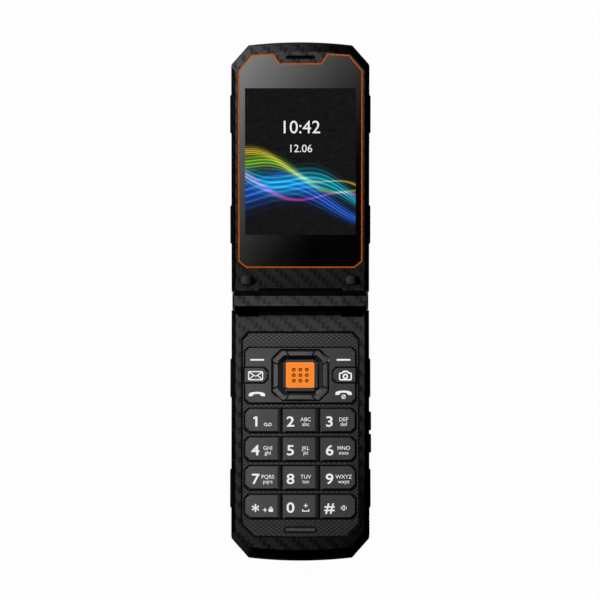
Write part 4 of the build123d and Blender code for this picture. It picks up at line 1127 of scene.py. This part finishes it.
class Mark(Enum):
    """Flat printed marks, each a list of shapes, and each shape its outline and the holes in it."""

    ENVELOPE = [
        [rounded(5.9, 3.6, 0.6), rounded(5.06, 2.76, 0.2)],
        *pair(stroke((-2.45, 1.3), (0.12, -0.35), 0.42)), *pair(stroke((-2.4, -1.35), (-0.95, 0.0), 0.42)),
    ]
    CAMERA = [
        [
            both([
                (1.9, -1.9), (2.35, -1.75), (2.55, -1.35), (2.55, 0.75), (2.4, 1.1), (2.05, 1.25),
                (1.4, 1.3), (1.05, 1.8), (0.75, 1.95),
            ]),
            both([(2.0, -1.3), (2.0, 0.7), (1.1, 0.75), (0.68, 1.35)]),
        ],
        [circle(1.08, (0.0, -0.3)), circle(0.5, (0.0, -0.3))],
    ]
    HANDSET = [[both([
        (0.0, 0.12), (0.8, 0.08), (1.3, -0.05), (1.5, -0.5), (1.75, -0.72), (3.05, -0.85), (3.25, -0.65),
        (3.15, 0.1), (2.75, 0.5), (1.7, 0.82), (0.0, 0.95),
    ])]]
    POWER = [[circle(0.88), circle(0.58)], [stroke((-0.42, -0.42), (0.42, 0.42), 0.3)]]
    ONE = [[[
        (0.72, 0.0), (0.72, FIGURE_HEIGHT), (-0.1, FIGURE_HEIGHT), (-0.85, FIGURE_HEIGHT - 0.42),
        (-0.85, FIGURE_HEIGHT - 1.1), (-0.1, FIGURE_HEIGHT - 0.85), (-0.1, 0.0),
    ]]]
    TAPE = [
        *([circle(0.66, (x, 0.0)), circle(0.4, (x, 0.0))] for x in (-0.9, 0.9)),
        [stroke((-0.9, -0.53), (0.9, -0.53), 0.26)],
    ]
    PADLOCK = [
        [rounded(1.7, 1.25, 0.18, (0.0, -0.4))], [arch(0.62, 0.75, 0.25) + arch(0.36, 0.48, 0.25)[::-1]],
    ]
    SPACE = [[both([(0.0, -0.45), (1.4, -0.45), (1.4, 0.45), (1.0, 0.45), (1.0, -0.05), (0.0, -0.05)])]]
    SHAKER = [
        [rounded(0.95, 1.9, 0.2), rounded(0.5, 1.1, 0.08)],
        *pair(stroke((-0.95, -0.55), (-0.95, 0.55), 0.24)),
    ]
    DASH = [[rounded(5.4, 0.66, 0.2)]]
    PLUS = [[both([(0.17, -0.78), (0.17, -0.17), (0.78, -0.17), (0.78, 0.17), (0.17, 0.17), (0.17, 0.78)])]]


class Printer:
    """Turns words and marks into thin printed layers on the flat drawing."""

    cap_share = 0.7
    curve_steps = 4

    def __init__(self, thickness: float) -> None:
        """Keeps the layer's thickness."""
        self.thickness = thickness

    def word(
        self, text: str, cap_height: float, place: Vector, weight: float = 0.0, stretch: float = 1.0,
    ) -> bpy.types.Object:
        """Prints a word.

        Args:
            text: What it says.
            cap_height: Height of its capitals.
            place: Middle of its base line, at the layer's underside.
            weight: How much its strokes are thickened.
            stretch: How much it is widened.

        Returns:
            The word's mesh.
        """
        Bench.clear()
        bpy.ops.object.text_add()
        word = bpy.context.object
        word.data.body = text
        word.data.size = cap_height / self.cap_share
        word.data.align_x = "CENTER"
        word.data.offset = weight
        word.data.resolution_u = self.curve_steps
        word.scale.x = stretch
        return self.solid(word, place)

    def mark(self, shapes: Shapes, place: Vector) -> bpy.types.Object:
        """Prints a mark or a like flat shape.

        Args:
            shapes: The mark's shapes.
            place: Its middle, at the layer's underside.

        Returns:
            The mark's mesh.
        """
        made = []
        for outlines in shapes:
            curve = bpy.data.curves.new("mark", "CURVE")
            curve.dimensions = "2D"
            curve.fill_mode = "BOTH"
            for outline in outlines:
                spline = curve.splines.new("POLY")
                spline.points.add(len(outline) - 1)
                for point, (x, y) in zip(spline.points, outline):
                    point.co = (x, y, 0.0, 1.0)
                spline.use_cyclic_u = True
            shape = bpy.data.objects.new("mark", curve)
            bpy.context.scene.collection.objects.link(shape)
            made.append(self.solid(shape, place))
        return Bench.join("mark", made)

    def solid(self, flat: bpy.types.Object, place: Vector) -> bpy.types.Object:
        """Gives a flat curve its thickness, makes it a mesh and places it.

        Args:
            flat: The text or curve.
            place: Where its origin goes.

        Returns:
            The mesh.
        """
        flat.data.extrude = self.thickness / 2
        Bench.take(flat)
        bpy.ops.object.convert(target="MESH")
        lift = Vector((0.0, 0.0, self.thickness / 2))
        return Bench.move(bpy.context.object, Matrix.Translation(place + lift))


@dataclass(frozen=True)
class Spot:
    """A mark on a key, placed across the phone and out from the key row's middle or the hinge."""

    mark: Mark
    x: float
    out: float


@dataclass(frozen=True)
class Key:
    """What is printed on one key."""

    body: str
    spots: tuple[Spot, ...] = ()
    figure: str = ""
    letters: str = ""


KEYPAD = (
    Key("key_1", (Spot(Mark.TAPE, -12.7, 1.6),), "1"),
    *(
        Key(f"key_{number}", (), str(number), letters)
        for number, letters in enumerate("ABC DEF GHI JKL MNO PQRS TUV WXYZ".split(), start=2)
    ),
    Key("key_star", (Spot(Mark.PLUS, -13.8, 1.4), Spot(Mark.PADLOCK, -11.5, 1.1)), "*"),
    Key("key_0", (Spot(Mark.PLUS, 2.1, -0.35), Spot(Mark.SPACE, 2.1, 1.6)), "0"),
    Key("key_hash", (Spot(Mark.SHAKER, 16.9, 0.6),), "#"),
)
CLUSTER = (
    Key("left_rocker", (Spot(Mark.DASH, -16.9, 23.2), Spot(Mark.HANDSET, -17.0, 36.75))),
    Key("message_key", (Spot(Mark.ENVELOPE, -17.5, 29.45),)),
    Key("camera_key", (Spot(Mark.CAMERA, 17.6, 29.45),)),
    Key("right_rocker", (
        Spot(Mark.DASH, 16.9, 23.2), Spot(Mark.HANDSET, 16.9, 36.25), Spot(Mark.POWER, 16.9, 37.75),
    )),
)


@dataclass
class KeyLegends:
    """White print on the keys, one layer for each key."""

    key_top: float = 13.1
    sink: float = 0.006
    thickness: float = 0.03
    row_start: float = 47.025
    figure_x: tuple[float, float, float] = (-17.5, -3.85, 11.4)
    figure_weight: float = 0.09
    figure_stretch: float = 1.16
    figure_out: float = 2.4
    star_height: float = 4.7
    star_out: float = 4.0
    letters_x: tuple[float, float, float] = (-12.7, 2.1, 16.9)
    letter_height: float = 1.5
    letter_weight: float = 0.008
    upper_out: float = 0.35
    lower_out: float = 2.2

    def build(self) -> None:
        """Prints every key."""
        printer = Printer(self.thickness)
        for index, key in enumerate(KEYPAD):
            row, column = divmod(index, KEY_COLUMNS)
            middle = self.row_start + row * KEY_ROW_PITCH
            words = [self.figure(printer, key.figure, self.figure_x[column], middle)]
            for text, out in ((key.letters, self.upper_out), (key.letters.lower(), self.lower_out)):
                if text:
                    place = self.place(self.letters_x[column], middle + out)
                    words.append(printer.word(text, self.letter_height, place, self.letter_weight))
            self.finish(printer, key, words, middle)
        for key in CLUSTER:
            self.finish(printer, key, [], 0.0)

    def place(self, x: float, distance: float) -> Vector:
        """Point on the key tops, a hair inside them."""
        return Vector((x, Half.BASE.along(distance), self.key_top - self.sink))

    def figure(self, printer: Printer, text: str, x: float, middle: float) -> bpy.types.Object:
        """Prints a large figure.

        Args:
            printer: What prints it.
            text: The figure.
            x: Its place across the phone.
            middle: Distance of its key's middle from the hinge.

        Returns:
            The figure's mesh.
        """
        place = self.place(x, middle + self.figure_out)
        if text == "1":
            return printer.mark(Mark.ONE.value, place)
        if text == "*":
            place = self.place(x, middle + self.star_out)
            return printer.word(text, self.star_height, place, self.figure_weight)
        return printer.word(text, FIGURE_HEIGHT, place, self.figure_weight, self.figure_stretch)

    def finish(self, printer: Printer, key: Key, words: list[bpy.types.Object], middle: float) -> None:
        """Prints a key's marks and lets its whole print ride on it.

        Args:
            printer: What prints them.
            key: The key.
            words: Its printed words.
            middle: Distance that its marks are measured from.
        """
        marks = [printer.mark(spot.mark.value, self.place(spot.x, middle + spot.out)) for spot in key.spots]
        Fitting(Half.BASE, key.body).fit("legend_" + key.body, words + marks, "legend_ink")


@dataclass
class KeypadKnurl:
    """Fine diamond points over the keypad panel, which stop short of its edge, keys and microphone bar."""

    width: float = 2.045
    length: float = 1.51
    height: float = 0.14
    slab: float = 0.3
    spare: float = 1.0
    panel_top: float = 12.4
    root: float = 0.02
    field_height: float = 1.12
    groove: float = 0.64
    half_width: float = 23.1
    span: Point = (12.0, 93.1)
    near_cut: Point = (2.6, 2.8)
    far_cut: Point = (4.6, 5.3)
    far_bow: float = 0.4
    field_half_width: float = 21.5
    cluster: Point = (18.5, 40.1)
    cluster_corner: float = 1.6
    side_key: Point = (26.35, 32.25)
    side_key_reach: float = 0.3
    row_start: float = 42.5
    row_length: float = 9.05
    row_corner: float = 1.8
    mic: tuple[float, float, float] = (12.4, 1.95, 89.8)
    mic_top: float = 12.55
    rim_width: float = 0.42
    rim_thickness: float = 0.04
    rim_sink: float = 0.03

    def build(self) -> None:
        """Models the points, trims them to the outlines and adds the microphone bar's black rim of painted
        shade.
        """
        points = self.points()
        field = self.field()
        Bench.apply(points, "BOOLEAN", operation="INTERSECT", object=field, solver="EXACT")
        bpy.data.objects.remove(field)
        fitting = Fitting(Half.BASE, "base", "panel")
        fitting.fit("panel_knurl", [points], "knurl")
        fitting.fit("microphone_rim", [self.mic_rim()], "black_plastic")

    def mic_rim(self) -> bpy.types.Object:
        """Models a black rim of painted shade round the microphone bar.

        Returns:
            The rim.
        """
        place = Vector((0.0, 0.0, self.mic_top - self.rim_sink))
        outlines = [self.mic_outline(0.0), self.mic_outline(-2 * self.rim_width)]
        return Printer(self.rim_thickness).mark([outlines], place)

    def mic_outline(self, grow: float) -> Outline:
        """The microphone bar's outline, made larger or smaller."""
        width, height, distance = self.mic
        return pill(width + grow, height + grow, (0.0, Half.BASE.along(distance)))

    def points(self) -> bpy.types.Object:
        """Models a slab of diamond points over the whole panel.

        Returns:
            The slab.
        """
        side = math.sqrt(0.5)
        length = self.span[1] - self.span[0]
        middle = Half.BASE.along(sum(self.span) / 2)
        wide, long = self.half_width + self.spare, length / 2 + self.spare
        cells = math.ceil(2 * self.half_width / self.width + length / self.length) + 2
        Bench.clear()
        bpy.ops.mesh.primitive_grid_add(x_subdivisions=cells, y_subdivisions=cells, size=cells * side)
        grid = bpy.context.object
        turned = Matrix.Rotation(math.radians(45.0), 4, "Z")
        stretched = Matrix.Diagonal((self.width, self.length, 1.0, 1.0))
        # Turned and stretched one after the other, because an object can't hold both at once
        Bench.move(grid, turned)
        Bench.move(grid, Matrix.Translation((0.0, middle, self.panel_top)) @ stretched)
        Bench.edit(grid, lambda face: abs(face.center.x) > wide or abs(face.center.y - middle) > long)
        bpy.ops.mesh.delete(type="FACE")
        bpy.ops.mesh.select_all(action="SELECT")
        bpy.ops.mesh.poke(offset=self.height)
        bpy.ops.object.mode_set(mode="OBJECT")
        Bench.apply(grid, "SOLIDIFY", thickness=self.slab, offset=-1.0)
        return grid

    def field(self) -> bpy.types.Object:
        """Models the block that the points are kept in, with its openings.

        Returns:
            The block.
        """
        outlines = [self.edge(), self.cluster_edge()]
        for row in range(KEY_ROWS):
            outlines.append(self.row_edge(self.row_start + row * KEY_ROW_PITCH))
        outlines.append(self.mic_outline(self.groove))
        return Printer(self.field_height).mark([outlines], Vector((0.0, 0.0, self.panel_top - self.root)))

    def edge(self) -> Outline:
        """Draws the panel's outline, drawn in by the groove.

        Returns:
            The outline on the flat drawing.
        """
        near, far = self.span[0] + self.groove, self.span[1] - self.groove
        half = self.half_width - self.groove
        right = [
            (half - self.near_cut[0], near), (half, near + self.near_cut[1]), (half, far - self.far_cut[1]),
            (half - self.far_cut[0], far - self.far_bow), (0.0, far),
        ]
        return Half.BASE.drawn(both(right))

    def row_edge(self, start: float) -> Outline:
        """Draws the outline round a row of keys, grown by the groove.

        Args:
            start: Where the row starts, from the hinge.

        Returns:
            The outline on the flat drawing.
        """
        half, corner = self.field_half_width + self.groove, self.row_corner
        low, high = start - self.groove, start + self.row_length + self.groove
        right = [(half - corner, low), (half, low + corner), (half, high - corner), (half - corner, high)]
        return Half.BASE.drawn(both(right))

    def cluster_edge(self) -> Outline:
        """Draws the outline round the function keys, with the side keys' ears.

        Returns:
            The outline on the flat drawing.
        """
        half, corner = self.field_half_width + self.groove, self.cluster_corner
        start, end = self.cluster[0] - self.groove, self.cluster[1] + self.groove
        ear = half + self.side_key_reach
        low, high = self.side_key[0] - self.groove, self.side_key[1] + self.groove
        right = [
            (half - corner, start), (half, start + corner), (half, low), (ear, low),
            (ear, high), (half, high), (half, end - corner), (half - corner, end),
        ]
        return Half.BASE.drawn(both(right))


@dataclass
class CollarRidges:
    """Ridges on the collar round the centre key, so close that they run together at the foot."""

    collar_top: float = 12.35
    reach: Point = (6.28, 5.75)
    ridge: float = 1.0
    crest_shares: Point = (0.35, 0.8)
    lift: float = 0.06
    pitch: float = 0.52
    counts: tuple[int, int] = (21, 19)

    def build(self) -> None:
        """Models one ridge, repeats it along the four sides and joins them."""
        place = Matrix.Translation((*RING_MIDDLE, self.collar_top))
        rows = []
        for count, reach, turn in zip(self.counts, reversed(self.reach), (0.0, 90.0)):
            for side in (-1, 1):
                turned = place @ Matrix.Rotation(math.radians(turn), 4, "Z")
                rows.append(Bench.move(self.row(count, side * reach), turned))
        Fitting(Half.BASE, "navigation_pad", "ring").fit("collar_ridges", rows, "ridge")

    def row(self, count: int, reach: float) -> bpy.types.Object:
        """Models one side's ridges.

        Args:
            count: How many there are.
            reach: How far the row lies from the middle.

        Returns:
            The row's mesh.
        """
        Bench.clear()
        bpy.ops.mesh.primitive_cube_add(size=self.ridge)
        ridge = bpy.context.object
        Bench.edit(ridge, lambda face: round(face.normal.z) == 1)
        bpy.ops.transform.resize(value=(*self.crest_shares, 1.0))
        bpy.ops.object.mode_set(mode="OBJECT")
        start = -(count - 1) / 2 * self.pitch
        Bench.move(ridge, Matrix.Translation((start, reach, self.lift)))
        Bench.apply(
            ridge, "ARRAY", count=count, use_relative_offset=False, use_constant_offset=True,
            constant_offset_displace=(self.pitch, 0.0, 0.0),
        )
        return ridge


@dataclass(frozen=True)
class Tab:
    """A tab of the ring: how far out it starts and ends, and half its width there."""

    outer: float
    inner: float
    outer_half: float
    inner_half: float
    at_side: bool


@dataclass
class RingSeams:
    """Black strips of painted shade in the seams between the ring's tabs and its corners, and along its
    edge.
    """

    top: float = 13.2
    edge_top: float = 13.12
    depth: float = 0.5
    width: float = 0.5
    edge_width: float = 0.26
    half: Point = (10.86, 9.81)
    corner: float = 3.6
    tabs: tuple[Tab, Tab] = (Tab(9.7, 7.5, 5.6, 4.2, False), Tab(10.75, 8.5, 5.1, 4.05, True))

    def build(self) -> None:
        """Models the eight strips and the edge, and joins them."""
        corners = itertools.product(self.tabs, (-1, 1), (-1, 1))
        strips = [[self.strip(tab, end, side)] for tab, end, side in corners]
        edge = [[self.octagon(0.0), self.octagon(self.edge_width)]]
        printer = Printer(self.depth)
        parts = [
            printer.mark(shapes, Vector((*RING_MIDDLE, top - self.depth)))
            for shapes, top in ((strips, self.top), (edge, self.edge_top))
        ]
        Fitting(Half.BASE, "navigation_ring", "ring").fit("ring_seams", parts, "black_plastic")

    def octagon(self, inset: float) -> Outline:
        """Draws the ring's outline, drawn in by an inset.

        Args:
            inset: How far it is drawn in.

        Returns:
            The outline round the ring's middle.
        """
        x, y = (half - inset for half in self.half)
        corner = self.corner - inset * (2 - math.sqrt(2))
        return both([(x - corner, -y), (x, corner - y), (x, y - corner), (x - corner, y)])

    def strip(self, tab: Tab, end: int, side: int) -> Outline:
        """Draws the strip along one side of a tab.

        Args:
            tab: The tab.
            end: Which of the two tabs, as -1 or 1.
            side: Which of its sides, as -1 or 1.

        Returns:
            The strip's four corners.
        """
        outer = (side * (tab.outer_half + self.width / 2), end * tab.outer)
        inner = (side * (tab.inner_half + self.width / 2), end * tab.inner)
        if tab.at_side:
            outer, inner = outer[::-1], inner[::-1]
        return stroke(outer, inner, self.width)


@dataclass
class DisplayPicture:
    """Lit picture on the display's window, with the time and date over it."""

    half_width: float = 21.6
    thickness: float = 0.05
    sink: float = 0.02
    crown: float = 0.02
    edge: float = 0.08
    figure_thickness: float = 0.02
    figure_sink: float = 0.005
    figures: tuple[tuple[str, float, float], ...] = (("10:42", 5.0, 66.0), ("12.06", 3.0, 58.6))

    def build(self) -> None:
        """Models the picture and its figures."""
        fitting = Fitting(Half.LID, "lid", "display")
        fitting.fit("display_picture", [self.sheet()], "picture")
        printer = Printer(self.figure_thickness)
        top = WINDOW_TOP + self.thickness - self.sink + self.crown - self.figure_sink
        words = [
            printer.word(text, height, Vector((0.0, Half.LID.along(distance), top)))
            for text, height, distance in self.figures
        ]
        fitting.fit("display_figures", words, "lit_figures")

    def sheet(self) -> bpy.types.Object:
        """Models the picture's sheet with its edge turned down.

        Returns:
            The sheet.
        """
        start, end = DISPLAY_SPAN
        middle = (0.0, Half.LID.along((start + end) / 2), WINDOW_TOP + self.thickness - self.sink)
        stretched = Matrix.Diagonal((2 * self.half_width, end - start, 1.0, 1.0))
        sheet = Bench.plane("picture_sheet", Matrix.Translation(middle) @ stretched)
        Bench.edit(sheet, lambda face: True)
        bpy.ops.mesh.inset(thickness=self.edge, depth=self.crown)
        bpy.ops.object.mode_set(mode="OBJECT")
        Bench.apply(sheet, "SOLIDIFY", thickness=self.thickness, offset=-1.0)
        return sheet


@dataclass
class Handset:
    """The whole phone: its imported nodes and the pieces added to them."""

    frame: dict
    own_finish = {"closing_bumpers": "bumper", "microphone_grille": "mic_bar"}

    def build(self) -> None:
        """Dresses the nodes and adds the finer pieces."""
        self.dress_nodes()
        for assembly in (KeypadKnurl(), CollarRidges(), RingSeams(), KeyLegends(), DisplayPicture()):
            assembly.build()

    def dress_nodes(self) -> None:
        """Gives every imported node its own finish, or that of its slot."""
        lid_nodes = set(self.frame["record"]["behaviour"]["bodies"]["lid"])
        for name, node in self.frame["nodes"].items():
            finish = self.own_finish.get(name, node.material_slots[0].material.name.split(".")[0])
            if finish == "housing":
                finish = "woven_lid" if name in lid_nodes else "woven_base"
            dress(node, finish)
            LOG.info("%s gets %s", name, finish)


@dataclass
class Studio:
    """Pale floor, soft light and the camera."""

    pixels: float = 600.0
    pixels_per_mm: float = 2.553
    hinge_pixel: Point = (300.35, 301.0)
    tilt: float = math.radians(8.0)
    distance: float = 2.0
    sensor: float = 36.0
    world_light: float = 0.1
    floor_size: float = 12.0
    floor_grey: Colour = (0.35, 0.35, 0.35, 1.0)
    floor_white_share: float = 0.98
    card_distance: float = 0.5
    card_size: Point = (0.16, 0.24)
    card_level: float = 0.139
    card_slopes: Point = (-4.97, 3.59)
    card_curve: float = 2.2
    card_light: float = 25.0
    lamp_towards: tuple[float, float, float] = (-0.48, 0.56, 0.68)
    lamp_distance: float = 1.2
    lamp_size: float = 0.4
    lamp_power: float = 20.0

    def build(self) -> None:
        """Sets up everything round the phone."""
        self.build_camera()
        self.build_world()
        self.build_floor()
        self.build_card()
        self.build_lamp()

    def build_camera(self) -> None:
        """Looks along the middle of the opening, with a long lens."""
        back = Vector((0.0, -math.sin(self.tilt), math.cos(self.tilt)))
        up = Vector((0.0, math.cos(self.tilt), math.sin(self.tilt)))
        off_x = (self.pixels / 2 - self.hinge_pixel[0]) / self.pixels_per_mm
        off_up = (self.hinge_pixel[1] - self.pixels / 2) / self.pixels_per_mm
        aim = (Vector((off_x, HINGE_Y, HINGE_Z)) + up * off_up) * MM
        data = bpy.data.cameras.new("camera")
        data.sensor_width = self.sensor
        data.lens = self.sensor * self.pixels_per_mm * self.distance / MM / self.pixels
        camera = bpy.data.objects.new("camera", data)
        bpy.context.scene.collection.objects.link(camera)
        camera.location = aim + back * self.distance
        camera.rotation_euler = (self.tilt, 0.0, 0.0)
        bpy.context.scene.camera = camera

    def build_world(self) -> None:
        """Lights everything evenly and faintly."""
        world = bpy.data.worlds.new("studio")
        bpy.context.scene.world = world
        world.use_nodes = True
        ground = world.node_tree.nodes["Background"]
        ground.inputs["Color"].default_value = (1.0, 1.0, 1.0, 1.0)
        ground.inputs["Strength"].default_value = self.world_light
        bpy.context.scene.view_settings.view_transform = "Standard"

    def build_floor(self) -> None:
        """Makes the pale floor, which shows white to the eye and in mirrors, and keeps a faint shadow."""
        floor = Bench.plane("floor", Matrix.Diagonal((self.floor_size, self.floor_size, 1.0, 1.0)))
        nodes = self.bare_tree(floor)
        path = nodes.results(nodes.add("ShaderNodeLightPath"))
        seen = nodes.math("MAXIMUM", path["Is Camera Ray"], path["Is Glossy Ray"])
        seen = nodes.math("MAXIMUM", seen, path["Is Transmission Ray"])
        matt = nodes.get(nodes.add("ShaderNodeBsdfDiffuse", {"Color": self.floor_grey}))
        white = nodes.get(nodes.add("ShaderNodeEmission"))
        mixed = nodes.add("ShaderNodeMixShader", {0: seen * self.floor_white_share, 1: matt, 2: white})
        nodes.fill(nodes.tree.nodes["Material Output"], {"Surface": nodes.get(mixed)})

    def build_card(self) -> None:
        """Hangs the graded card that the display's window mirrors."""
        window = Half.LID.to_row() @ Vector((0.0, Half.LID.along(sum(DISPLAY_SPAN) / 2), WINDOW_TOP))
        turn = Matrix.Rotation(self.tilt + OPEN_TURN, 4, "X")
        middle = window + turn @ Vector((0.0, 0.0, self.card_distance))
        stretched = Matrix.Diagonal((*self.card_size, 1.0, 1.0))
        card = Bench.plane("reflector", Matrix.Translation(middle) @ turn @ stretched)
        nodes = self.bare_tree(card)
        across, along, _ = nodes.split(nodes.coordinate("Object"))
        rise = along - middle.y
        level = across * self.card_slopes[0] + rise * self.card_slopes[1] + self.card_level
        shown = nodes.math("POWER", nodes.math("MAXIMUM", level, 0.0), self.card_curve)
        lamp = nodes.add("ShaderNodeEmission", {"Strength": shown * self.card_light})
        nodes.fill(nodes.tree.nodes["Material Output"], {"Surface": nodes.get(lamp)})
        for rays in ("camera", "diffuse", "shadow", "transmission"):
            setattr(card, "visible_" + rays, False)

    def bare_tree(self, sheet: bpy.types.Object) -> Tree:
        """Gives a stage sheet a material with no shader yet.

        Args:
            sheet: The sheet.

        Returns:
            The material's tree.
        """
        made = bpy.data.materials.new(sheet.name)
        made.use_nodes = True
        made.node_tree.nodes.remove(made.node_tree.nodes["Principled BSDF"])
        sheet.data.materials.append(made)
        return Tree(made.node_tree)

    def build_lamp(self) -> None:
        """Adds a soft square lamp that faces the hinge."""
        data = bpy.data.lights.new("key_lamp", "AREA")
        data.size = self.lamp_size
        data.energy = self.lamp_power
        lamp = bpy.data.objects.new("key_lamp", data)
        bpy.context.scene.collection.objects.link(lamp)
        ray = Vector(self.lamp_towards).normalized()
        lamp.location = Vector((0.0, HINGE_Y, HINGE_Z)) * MM + ray * self.lamp_distance
        lamp.rotation_euler = ray.to_track_quat("Z", "Y").to_euler()


def main() -> None:
    """Builds the studio and the dressed phone, in order."""
    logging.basicConfig(level=logging.INFO, format="%(name)s: %(message)s")
    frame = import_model()
    Studio().build()
    for effect in (MouldedGrain(), CarbonWeave(), LightRibbon()):
        effect.build()
    Handset(frame).build()


if __name__ == "__main__":
    main()
